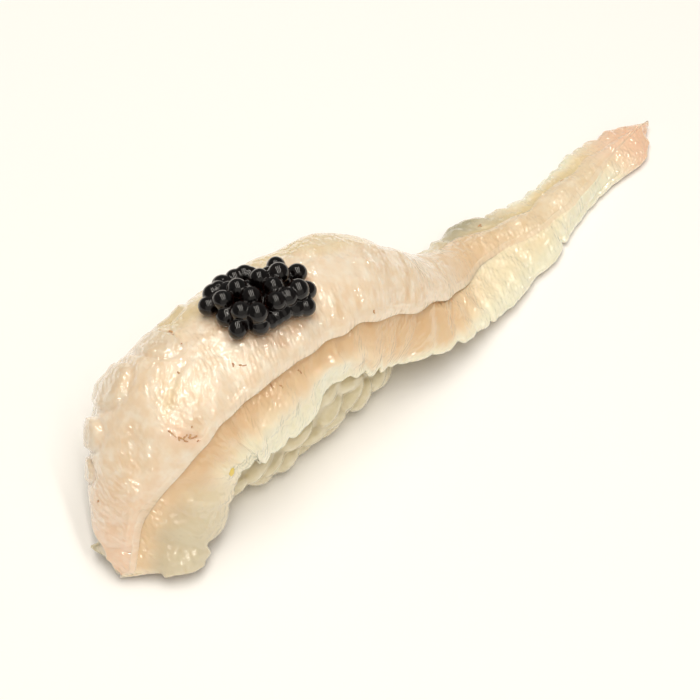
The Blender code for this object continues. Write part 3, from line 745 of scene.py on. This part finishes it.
# where the tints lie: places along the strip in mm from the nose, and widths in mm across it
fleshTints = {
    "nose": (24, 8), "tip": (134, 150), "tail": (84, 104), "waist": (101, 14),
    "backRim": 2.6, "fold": (16, 30, 58, 74), "muscle": (56, 64, 104, 124),
    # width, what a stretch takes from it or adds to it, and that stretch; the second is the painted
    # shade under the lip
    "frontRim": (4.0, 1.8, (56, 64, 84, 94)), "lipShade": (8.0, 6, (50, 62, 86, 96)),
    # how much, where it starts and is full across the strip, and its stretch along it
    "yellowPatches": [(1, 2.5, 6.5, (34, 40, 60, 66)), (0.7, 0.5, 3.0, (60, 64, 76, 84))],
    "yellowSpot": (29.2, -1.2, 2.8, 0.7, 10), "yellowTail": (90, 112, 136, 146),
    "greyPatch": (106.5, 10),
}


def zonePaint(shape, runs, zones):
    # where each tint and each kind of relief lies, 0 to 1
    spec = fleshTints
    along = shape.run[:, None] + 0 * runs
    front, back, lip, rear = shape.borders()
    onFront, onBack, onLip, under = (
        within(zones, names, runs)
        for names in (("frontFin", "frontRim"), ("backFin", "backRim"), ("lip",), ("under",)))
    onBand = (1 - onFront) * (1 - onBack)  # its lip and the underside too
    outFront = np.maximum(-runs - lip, 0)
    toFrontEdge, toBackEdge = front + runs, back - runs
    wobble = 0.8 * ripple(along, runs, 6, 51)
    nose, tip = soft(*spec["nose"], along), soft(*spec["tip"], along)
    pads = 0 * runs
    for middle, place, long, wide, lift in fleshFeatures["pads"]:
        reach = padReach(along, runs, middle, place, long, wide)
        pads = np.maximum(pads, soft(1.05, 0.8, reach))

    # the edges are paler; the crest of the front fin's fold is painted paler too, a painted highlight
    wide, less, place = spec["frontRim"]
    rim = onFront * soft(wide - less * stretch(along, *place), 0.6, toFrontEdge)
    rim += onBack * soft(spec["backRim"], 0.4, toBackEdge)
    fold = onFront * hump(-toFrontEdge / (lip - front), 0.42, 0.3) * stretch(along, *spec["fold"])
    # painted shade: the fin under the lip is painted darker, widest in the middle of the strip
    wide, more, place = spec["lipShade"]
    deep = soft(wide + more * stretch(along, *place), 1.0, outFront + wobble)
    deep = onFront * deep * (1 - 0.9 * soft(*spec["tail"], along)) * (1 - 0.3 * nose)
    # painted shade on the band where it slopes down towards the tail
    waist = 0.7 * onBand * (1 - under) * hump(along, *spec["waist"])
    # the back is yellower in two patches, beside the roe and on towards the tail
    yellow = 0 * runs
    for much, inner, outer, place in spec["yellowPatches"]:
        yellow += soft(inner, outer, runs + wobble) * stretch(along, *place) * much
    yellow += 0.6 * dimple(along, runs, *spec["yellowSpot"])
    yellowTail = (0.6 * onBack + 0.35) * stretch(along, *spec["yellowTail"])
    # the fins are greyer at the nose end and in one patch of the tail
    greyTail = onBack * hump(along, *spec["greyPatch"]) * soft(7.0, 1.5, toBackEdge)
    greyNose = 0.5 * (onFront + onBack) * nose * soft(0.5, 4, np.maximum(outFront, runs - rear))
    grey = greyTail + 0.16 * pads + greyNose + 0.3 * onBack * soft(9, 6, along)
    # both ends blush, and so does the flesh round the vessels
    warm = tip * 0.9 + 0.4 * soft(22, 3, along) * onBand * (1 - pads)
    warm += 0.55 * dimple(along, runs, *fleshFeatures["bruise"])
    edgeFront = toFrontEdge / np.maximum(front - lip, 0.1)
    edgeBack = toBackEdge / np.maximum(back - rear, 0.1)
    paint = {
        "fin": np.clip(onFront + onBack * soft(0, 3, runs - rear) + under, 0, 1)
               * (1 - 0.5 * soft(140, 150, along)),
        # painted shade under the lip and on the slope down to the tail
        "paintedShade": deep + waist,
        # the fold's share of this is a painted highlight
        "rim": rim * (0.8 - 0.3 * soft(30, 12, along)) + 0.6 * fold,
        # the lip is painted paler: a painted highlight along it
        "grey": grey, "yellow": 0.75 * yellow + yellowTail, "warm": warm, "lip": onLip * 0.3,
        "muscle": stretch(along, *spec["muscle"]) * soft(0.4, 2, runs + lip) * onBand * 0.8,
        "ribs": onFront * soft(0.6, 0.15, edgeFront) + onBack * soft(0.7, 0.3, edgeBack),
        "glint": 0.75 + 0.25 * onFront - 0.7 * under,
    }
    return {name: np.clip(values, 0, 1) for name, values in paint.items()}


def paintedRoeShade(places, heights):
    # painted contact shade, warm and brown, on the flesh round the roe, its border uneven
    spot, reach = np.array(roeHeap["middle"]), np.array(roeHeap["roeShadeReach"])
    around = np.linalg.norm((places[..., :2] - spot[:2]) / reach, axis=-1)
    around += 0.06 * ripple(places[..., 0], places[..., 1], 3, 71)
    return roeHeap["roeShade"] * soft(1.0, 0.85, around) * (heights > 1)


strip, stripShape = fishStripPiece()
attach(strip, "root")
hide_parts("fish_strip")


# Specks on the flesh

specks = {
    "fade": "#e9cf98", "fadePitch": 0.5, "ior": 1.38, "roughness": 0.35,
    "vein": "#a5492f", "veinWidth": 0.34, "veinDepth": 0.14, "veinParts": 3, "veinBend": 0.5,
    "crumb": "#f3dd45", "crumbAt": (21.3, -12.8), "crumbSize": 0.62, "crumbLumps": (0.9, 0.35),
    # (along, across, length, turn in degrees)
    "veins": [(24.6, -2.8, 1.5, -95), (24.3, -4.1, 1.6, -72), (24.8, -5.2, 1.3, -80),
              (24.6, -4.5, 0.8, -40), (24.3, -3.9, 0.7, -150), (24.9, -5.0, 0.7, -20),
              (25.0, -6.0, 0.6, -60), (26.4, -4.9, 0.3, 0), (37.2, 5.6, 1.0, 70),
              (36.7, 5.0, 0.8, 40), (35.9, 2.9, 0.3, 0), (32.2, -0.4, 0.6, 75),
              (39.4, -5.1, 1.1, -45), (38.5, -4.6, 0.6, 30), (61.6, -9.5, 1.1, 100),
              (66.4, -8.7, 0.7, 110), (42.0, -9.6, 1.1, 60),
              (48.0, -10.6, 0.9, 95), (43.5, -10.4, 0.8, 120), (109.1, 4.6, 0.9, 20),
              (109.3, 4.2, 0.7, 95), (11.5, 4.6, 0.4, 10), (129.5, 2.0, 0.8, 0)],
}


def laidOn(along, out):
    # turns X to a direction along a surface and Z to the direction out of it
    return Matrix((along, out.cross(along), out)).transposed()


def onStrip(along, across):
    # place and outward direction on the strip's skin, with its direction along the strip
    row = int(np.argmin(np.abs(stripShape.run - along)))
    rows = np.array([row, row, min(row + 4, len(stripShape.run) - 1)])
    across = np.array([across] * 3)
    above, below = 9.0, 0.5  # from over the flesh down to its underside
    points = stripShape.point(rows, across, np.array([above, below, above]))
    high, low, ahead = (Vector(point) * mm for point in points + np.array(fishStrip["settle"]))
    hit = stripTree.ray_cast(high, (low - high).normalized())
    lengthwise = (ahead - high).normalized()
    return hit[0], hit[1], (lengthwise - hit[1] * lengthwise.dot(hit[1])).normalized()


def speckFinish(name, colour):
    # small and wet, sunk in the flesh's own film of water
    made, tree, shader = startMaterial(name)
    place = addNode(tree, "ShaderNodeTexCoord").outputs["Object"]
    cloud = addNode(tree, "ShaderNodeTexNoise", None,
                    {"Vector": place, "Scale": 1 / (specks["fadePitch"] * mm), "Detail": 2.0})
    mixed = addNode(tree, "ShaderNodeMix", {"data_type": "RGBA"},
                    {0: cloud.outputs[0], 6: linear(colour), 7: linear(specks["fade"])})
    setInputs(tree, shader, {"Base Color": mixed.outputs[2], "Roughness": specks["roughness"],
                             "IOR": specks["ior"]})
    return made


def veinPiece():
    # each vessel is a few slim beads in a crooked line, sunk in the skin
    spec = specks
    bm = bmesh.new()
    draw = random.Random(3)
    bend, step, halfBead = spec["veinBend"], 0.33, 0.27  # shares of a vessel's length
    for along, across, long, turn in spec["veins"]:
        place, out, ahead = onStrip(along, across)
        heading = Matrix.Rotation(math.radians(turn), 3, out) @ ahead
        for _ in range(spec["veinParts"]):
            heading = Matrix.Rotation(draw.uniform(-bend, bend), 3, out) @ heading
            lie = laidOn(heading, out).to_4x4()
            wide = spec["veinWidth"] / 2 * draw.uniform(0.6, 1.2)
            size = Matrix.Diagonal((long * halfBead, wide, spec["veinDepth"] / 2, 1))
            bmesh.ops.create_uvsphere(bm, u_segments=8, v_segments=6, radius=mm,
                                      matrix=Matrix.Translation(place) @ lie @ size)
            place = place + heading * long * step * mm
            place, out = stripTree.find_nearest(place)[:2]
    return meshPiece("bloodVessels", bm, speckFinish("redFleshVein", specks["vein"]))


def crumbPiece():
    # a lumpy crumb, half as high as it is wide
    pitch, lumps = specks["crumbLumps"]
    bm = bmesh.new()
    place, out, ahead = onStrip(*specks["crumbAt"])
    bmesh.ops.create_icosphere(bm, subdivisions=3, radius=specks["crumbSize"] * mm)
    for vert in bm.verts:
        lump = float(ripple(vert.co.x / mm + 3, vert.co.y / mm * 1.3 + vert.co.z / mm, pitch, 81))
        vert.co = vert.co * (1 + lumps * lump)
        vert.co.z *= 0.5
    bm.transform(Matrix.Translation(place) @ laidOn(ahead, out).to_4x4())
    return meshPiece("yellowCrumb", bm, speckFinish("crumbOfEggYolk", specks["crumb"]))


stripTree = BVHTree.FromObject(strip, bpy.context.evaluated_depsgraph_get())
for speck in (veinPiece(), crumbPiece()):
    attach(speck, "root")
print("specks:", len(specks["veins"]), "vessels and a crumb")


# Rice bed

riceBed = {
    # the pressed bed: its box, where it is widest, and how square
    "centreX": -28, "length": 52, "width": 27, "height": 20.4, "waist": 7, "roundness": 0.66,
    "coreSink": 0.5, "coreLumps": (3.4, 0.25), "coreFloor": 0.1,
    "pressGap": 1.6, "grainGap": 0.15,  # how far the core and the grains stay from the strip
    # grains: size and its spread, mean and spread of the turn, and how blunt, plump, flat and bent
    "grainLength": 6.8, "lengthSpread": (0.85, 1.08),
    "grainThickness": 3.5, "thicknessSpread": (0.9, 1.12), "grainTurn": (0.35, 0.4),
    "blunt": 0.18, "plump": 0.105, "flatness": 0.9, "grainBend": 0.12, "sides": 14, "rings": 10,
    "spacing": (4.6, 2.6),  # between neighbours, along and across a grain
    "sinks": (0.7, 1.1, 1.5, 2.0, 2.5, 3.1, 3.8),  # depths that are tried till a grain fits
    "latitudes": (-0.9, 1.0), "bottomZ": 0.9, "topZ": 17.5, "lowest": 0.12,
    "tries": 12000, "seed": 11,
    "voxel": 0.26, "moist": 2,  # cell of the skin that joins the grains, and how far it is smoothed
}

riceLook = {
    "grain": "#dcd1b1", "grainCloud": "#efe9d4", "grainDeep": "#c9be99",
    "ior": 1.4, "roughness": 0.25, "scatterRadius": (1.0, 0.97, 0.86), "scatterDepth": 1.6,
    "coat": 1.0, "coatRoughness": 0.06,
    "cloudPitch": 2.4, "deepPitch": 5, "skinPitch": 0.8, "skinDepth": 0.07,
}


def steamedRice():
    # short-grain rice, steamed and dressed: glassy at the skin, milky inside
    look = riceLook
    made, tree, shader = startMaterial("steamedShortGrainRice")
    place = addNode(tree, "ShaderNodeTexCoord").outputs["Object"]
    cloud = addNode(tree, "ShaderNodeTexNoise", None,
                    {"Vector": place, "Scale": 1 / (look["cloudPitch"] * mm), "Detail": 2.0})
    wide = addNode(tree, "ShaderNodeTexNoise", None,
                   {"Vector": place, "Scale": 1 / (look["deepPitch"] * mm), "Detail": 1.0})
    cloudy = addNode(tree, "ShaderNodeMapRange", None,
                     {0: cloud.outputs[0], 1: 0.45, 2: 0.75, 4: 0.6})
    deep = addNode(tree, "ShaderNodeMapRange", None, {0: wide.outputs[0], 1: 0.4, 2: 0.7, 4: 0.6})
    first = addNode(tree, "ShaderNodeMix", {"data_type": "RGBA"},
                    {0: deep.outputs[0], 6: linear(look["grain"]), 7: linear(look["grainDeep"])})
    colour = addNode(tree, "ShaderNodeMix", {"data_type": "RGBA"},
                     {0: cloudy.outputs[0], 6: first.outputs[2], 7: linear(look["grainCloud"])})
    skin = addNode(tree, "ShaderNodeTexNoise", None,
                   {"Vector": place, "Scale": 1 / (look["skinPitch"] * mm), "Detail": 2.0})
    bump = addNode(tree, "ShaderNodeBump", None,
                   {"Strength": 1.0, "Distance": look["skinDepth"] * mm, "Height": skin.outputs[0]})
    setInputs(tree, shader, {
        "Base Color": colour.outputs[2], "Roughness": look["roughness"], "IOR": look["ior"],
        "Subsurface Weight": 1.0, "Subsurface Radius": look["scatterRadius"],
        "Subsurface Scale": look["scatterDepth"] * mm,
        "Coat Weight": look["coat"], "Coat Roughness": look["coatRoughness"],
        "Normal": bump.outputs[0], "Coat Normal": bump.outputs[0],
    })
    return made


def settle():
    # the shift that centres the whole on the frame
    return Vector(fishStrip["settle"]) * mm


def oblong(u, v):
    # point of the rice core's surface at longitude u and latitude v, in metres
    spec = riceBed

    def bend(value):
        return math.copysign(abs(value) ** spec["roundness"], value)

    ring = bend(math.cos(v))
    rise = spec["height"] - spec["waist"] if v > 0 else spec["waist"] * 1.25
    return Vector((spec["centreX"] + spec["length"] / 2 * ring * bend(math.cos(u)),
                   spec["width"] / 2 * ring * bend(math.sin(u)),
                   spec["waist"] + rise * bend(math.sin(v)))) * mm + settle()


def heartOfRice(place):
    # point deep in the rice, towards which it is pressed
    spec = riceBed
    middle = Vector((spec["centreX"] * mm, 0, 0.4 * spec["height"] * mm)) + settle()
    middle.x += (place.x - middle.x) * 0.6
    return middle


def roomUnder(place, tree, gap):
    # how far from the heart a point may lie to stay a gap from the strip, or None where it is clear
    heart = heartOfRice(place)
    reach = place - heart
    hit = tree.ray_cast(heart, reach.normalized(), reach.length + gap)
    return None if hit[0] is None else hit[3] - gap


def riceCore(tree):
    # the rice's middle, lumpy where grains press through
    spec = riceBed
    pitch, lumps = spec["coreLumps"]
    bm = bmesh.new()
    bmesh.ops.create_uvsphere(bm, u_segments=96, v_segments=48, radius=1)
    for vert in bm.verts:
        place = oblong(math.atan2(vert.co.y, vert.co.x), math.asin(max(-1, min(1, vert.co.z))))
        lump = float(ripple(place.x / mm, place.y / mm + place.z / mm * 0.8, pitch, 41)) * lumps * mm
        heart = heartOfRice(place)
        place = place + (place - heart).normalized() * (lump - spec["coreSink"] * mm)
        far = roomUnder(place, tree, spec["pressGap"] * mm)
        if far is not None:
            place = heart + (place - heart).normalized() * far
        vert.co = place
    cut = bmesh.ops.bisect_plane(bm, geom=bm.verts[:] + bm.edges[:] + bm.faces[:],
                                 plane_co=(0, 0, spec["coreFloor"] * mm), plane_no=(0, 0, -1),
                                 clear_outer=True)
    rim = [item for item in cut["geom_cut"] if isinstance(item, bmesh.types.BMEdge)]
    bmesh.ops.contextual_create(bm, geom=rim)
    return bm


def grainMesh(draw):
    # one grain along X: plump, blunter at one end and a little bent
    spec = riceBed
    bm = bmesh.new()
    bmesh.ops.create_uvsphere(bm, u_segments=spec["sides"], v_segments=spec["rings"], radius=0.5)
    bm.transform(Matrix.Rotation(math.pi / 2, 4, "Y"))
    long = spec["grainLength"] * draw.uniform(*spec["lengthSpread"]) * mm
    thick = spec["grainThickness"] * draw.uniform(*spec["thicknessSpread"]) * mm
    bend = draw.uniform(-spec["grainBend"], spec["grainBend"])
    for vert in bm.verts:
        t = vert.co.x * 2
        plump = (1 - spec["blunt"] * t) * (1 + spec["plump"] * (1 - t * t))
        x = math.copysign(abs(t) ** 0.85, t) / 2 * long
        y = vert.co.y * thick * plump + bend * t * t * thick
        z = vert.co.z * thick * spec["flatness"] * plump
        vert.co = (x, y, z)
    return bm


def sideLie(u, v, draw):
    # how a grain lies on the rice: flat against the surface, turned at random
    here = oblong(u, v)
    east = (oblong(u + 0.02, v) - here).normalized()
    north = (oblong(u, v + 0.02) - here).normalized()
    out = east.cross(north).normalized()
    along = Matrix.Rotation(draw.gauss(*riceBed["grainTurn"]), 3, out) @ east
    along = (along + out * draw.uniform(-0.25, 0.25)).normalized()
    out = (out - along * out.dot(along)).normalized()
    return here, out, laidOn(along, out)


def riceBedPiece(tree, finish):
    # grains laid over the core and joined with it by one skin, as sticky rice is
    spec = riceBed
    draw = random.Random(spec["seed"])
    centres = []
    heap = riceCore(tree)
    for _ in range(spec["tries"]):
        u, v = draw.uniform(-math.pi, math.pi), draw.uniform(*spec["latitudes"])
        here, out, lie = sideLie(u, v, draw)
        if not spec["bottomZ"] * mm < here.z < spec["topZ"] * mm:
            continue
        long, wide = spec["spacing"]
        apart = [lie.transposed() @ (here - other) / mm for other in centres]
        if any((gap.x / long) ** 2 + (gap.y / wide) ** 2 + (gap.z / wide) ** 2 < 1
               for gap in apart):
            continue
        for sink in spec["sinks"]:
            grain = grainMesh(draw)
            grain.transform(Matrix.Translation(here - out * sink * mm) @ lie.to_4x4())
            low = min(vert.co.z for vert in grain.verts)
            if low > spec["lowest"] * mm and all(grainClear(vert.co, tree) for vert in grain.verts):
                centres.append(here)
                scrap = bpy.data.meshes.new("grain")
                grain.to_mesh(scrap)
                heap.from_mesh(scrap)
                bpy.data.meshes.remove(scrap)
                grain.free()
                break
            grain.free()
    bmesh.ops.recalc_face_normals(heap, faces=heap.faces)
    made = joinSkin(meshPiece("stickyRice", heap, finish), spec["voxel"], spec["moist"])
    for vert in made.data.vertices:  # the skin stays off the floor
        vert.co.z = max(vert.co.z, 0.5 * spec["lowest"] * mm)
    print("rice:", len(centres), "grains,", len(made.data.polygons), "faces")
    return made


def grainClear(place, tree):
    # whether a point of a grain lies under the strip and off its flesh
    gap = riceBed["grainGap"] * mm
    if tree.find_nearest(place)[3] < gap:
        return False
    return roomUnder(place, tree, gap) is None


riceFinish = steamedRice()
rice = riceBedPiece(stripTree, riceFinish)
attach(rice, "root")
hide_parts("rice_bed")


# Black roe

roeLook = {
    "skin": "#040202", "yolk": "#0e0604", "yolkPitch": 1.2,
    "ior": 1.34, "specular": 0.1, "roughness": 0.32,
    "coat": 1.0, "coatRoughness": 0.03, "coatIor": 1.42,
    "rimTint": "#8a3a20", "rimSheen": 0.14, "rimRoughness": 0.3,
    "dimplePitch": 1.5, "dimpleDepth": 0.07,
}


def glossyRoe():
    # salted black roe: a taut wet skin, nearly black, brown where light grazes it
    look = roeLook
    made, tree, shader = startMaterial("glossyBlackRoe")
    place = addNode(tree, "ShaderNodeTexCoord").outputs["Object"]
    cloud = addNode(tree, "ShaderNodeTexNoise", None,
                    {"Vector": place, "Scale": 1 / (look["yolkPitch"] * mm), "Detail": 2.0})
    share = addNode(tree, "ShaderNodeMapRange", None, {0: cloud.outputs[0], 1: 0.45, 2: 0.8})
    colour = addNode(tree, "ShaderNodeMix", {"data_type": "RGBA"},
                     {0: share.outputs[0], 6: linear(look["skin"]), 7: linear(look["yolk"])})
    dimple = addNode(tree, "ShaderNodeTexNoise", None,
                     {"Vector": place, "Scale": 1 / (look["dimplePitch"] * mm), "Detail": 1.0})
    bump = addNode(tree, "ShaderNodeBump", None,
                   {"Strength": 1.0, "Distance": look["dimpleDepth"] * mm,
                    "Height": dimple.outputs[0]})
    setInputs(tree, shader, {
        "Base Color": colour.outputs[2], "Roughness": look["roughness"],
        "IOR": look["ior"], "Specular IOR Level": look["specular"],
        "Coat Weight": look["coat"], "Coat Roughness": look["coatRoughness"],
        "Coat IOR": look["coatIor"],
        "Sheen Weight": look["rimSheen"], "Sheen Roughness": look["rimRoughness"],
        "Sheen Tint": linear(look["rimTint"]),
        "Normal": bump.outputs[0], "Coat Normal": bump.outputs[0],
    })
    return made


def onFlesh(right, up, height, radius, tree):
    # place this far from the flesh, right and up of the heap's middle as the camera sees it
    eye, rightward, upward, _ = cameraPlace()
    spot = (Vector(roeHeap["middle"]) + rightward * right + upward * up) * mm
    aim = (spot - eye).normalized()
    place = tree.ray_cast(eye, aim)[0] or tree.find_nearest(spot)[0]
    step, margin = 0.1, 0.25  # the egg stays this margin below the top of the part's box
    top = cadBox[1][2]
    while tree.find_nearest(place)[3] < height * mm and place.z + (radius + margin) * mm < top:
        place = place - aim * step * mm
    return place


def roePiece(tree, finish):
    # eggs joined by a skin that rounds the joints, as brine does
    spec = roeHeap
    draw = random.Random(spec["seed"])
    heap = bmesh.new()
    hidden = []
    while len(hidden) < spec["hidden"]:
        turn, far = draw.uniform(0, 2 * math.pi), math.sqrt(draw.random())
        wide, tall = spec["hiddenReach"]
        shift = Vector((wide * far * math.cos(turn), tall * far * math.sin(turn)))
        spot = Vector(spec["hiddenMiddle"]) + shift
        spacing = spec["hiddenSpacing"] * 0.99 ** len(hidden)  # tighter as the patch fills
        if all((spot - other).length > spacing for other in hidden):
            hidden.append(spot)
    for layer, eggs in ((0, spec["lower"]), (1, spec["upper"]), (0, hidden)):
        for right, up in eggs:
            width = spec["eggWidth"] * draw.uniform(*spec["eggSpread"])
            height = width * (0.5 + spec["upperRise"] * layer) + spec["clear"]
            height += draw.uniform(0, spec["unevenRise"]) * layer
            egg = Matrix.Translation(onFlesh(right, up, height, width / 2, tree))
            turn = draw.uniform(0, 6.3)
            axis = Vector((draw.uniform(-1, 1), draw.uniform(-1, 1), 0.5))
            egg = egg @ Matrix.Rotation(turn, 4, axis)
            long, flat = (draw.uniform(*limits) for limits in spec["squash"])
            egg = egg @ Matrix.Diagonal((long, 1, flat, 1))
            bmesh.ops.create_uvsphere(heap, u_segments=spec["segments"], v_segments=spec["rings"],
                                      radius=width / 2 * mm, matrix=egg)
    made = joinSkin(meshPiece("blackRoe", heap, finish), spec["voxel"], spec["brine"])
    print("roe:", len(spec["lower"]) + len(spec["upper"]), "eggs,", len(made.data.polygons), "faces")
    return made


roeFinish = glossyRoe()
roe = roePiece(stripTree, roeFinish)
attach(roe, "root")
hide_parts("roe_heap")


# Floor, light and camera

def paleFloor():
    # matte paper: even and pale, with no gloss of its own
    made, tree, shader = startMaterial("paleMattePaper")
    place = addNode(tree, "ShaderNodeTexCoord").outputs["Object"]
    cloud = addNode(tree, "ShaderNodeTexNoise", None,
                    {"Vector": place, "Scale": 1 / studio["floorCloud"], "Detail": 1.0})
    colour = addNode(tree, "ShaderNodeMix", {"data_type": "RGBA"},
                     {0: cloud.outputs[0], 6: linear(studio["floor"]),
                      7: linear(studio["floorPale"])})
    setInputs(tree, shader, {"Base Color": colour.outputs[2],
                             "Roughness": studio["floorRoughness"]})
    bm = bmesh.new()
    bmesh.ops.create_grid(bm, x_segments=1, y_segments=1, size=studio["floorSize"] / 2)
    return meshPiece("floor", bm, made, False)


def areaLight(name, place, size, watts, colour, turn):
    lamp = bpy.data.lights.new(name, "AREA")
    lamp.shape = "RECTANGLE"
    lamp.size, lamp.size_y = size
    lamp.energy = watts
    lamp.color = linear(colour)[:3]
    holder = bpy.data.objects.new(name, lamp)
    holder.location = place
    holder.rotation_mode = "QUATERNION"
    holder.rotation_quaternion = turn
    bpy.context.scene.collection.objects.link(holder)


def lightAndCamera():
    target = Vector(studio["target"]) * mm
    eye, right, _, back = cameraPlace()
    for name, place, size, watts, colour in studio["softboxes"]:
        areaLight(name, place, size, watts, colour, (target - Vector(place)).to_track_quat("-Z", "Y"))
    lamps = studio["lamps"]
    turned = Matrix.Rotation(math.radians(lamps["turn"]), 3, "Z")
    side, away = turned @ right, turned @ Vector((0, 0, 1)).cross(right)
    down = Matrix((side, away, Vector((0, 0, 1)))).transposed().to_quaternion()
    for n in range(lamps["count"]):
        offset = lamps["apart"] * (n - (lamps["count"] - 1) / 2)
        place = target + side * offset + Vector((0, 0, lamps["height"]))
        areaLight(f"lamp{n}", place, lamps["size"], lamps["watts"], lamps["colour"], down)
    world = bpy.data.worlds.new("paleRoom")
    world.use_nodes = True
    ground = world.node_tree.nodes["Background"]
    ground.inputs[0].default_value = linear(studio["world"])
    ground.inputs[1].default_value = studio["worldStrength"]
    bpy.context.scene.world = world
    lens = bpy.data.cameras.new("camera")
    lens.lens, lens.sensor_width = studio["lens"], studio["sensor"]
    lens.clip_start, lens.clip_end = 0.01, 10
    camera = bpy.data.objects.new("camera", lens)
    camera.location = eye
    camera.rotation_mode = "QUATERNION"
    camera.rotation_quaternion = (-back).to_track_quat("-Z", "Y")
    bpy.context.scene.collection.objects.link(camera)
    bpy.context.scene.camera = camera
    bpy.context.scene.view_settings.view_transform = "Standard"


floor = paleFloor()
lightAndCamera()
print("stage, lights and camera set")
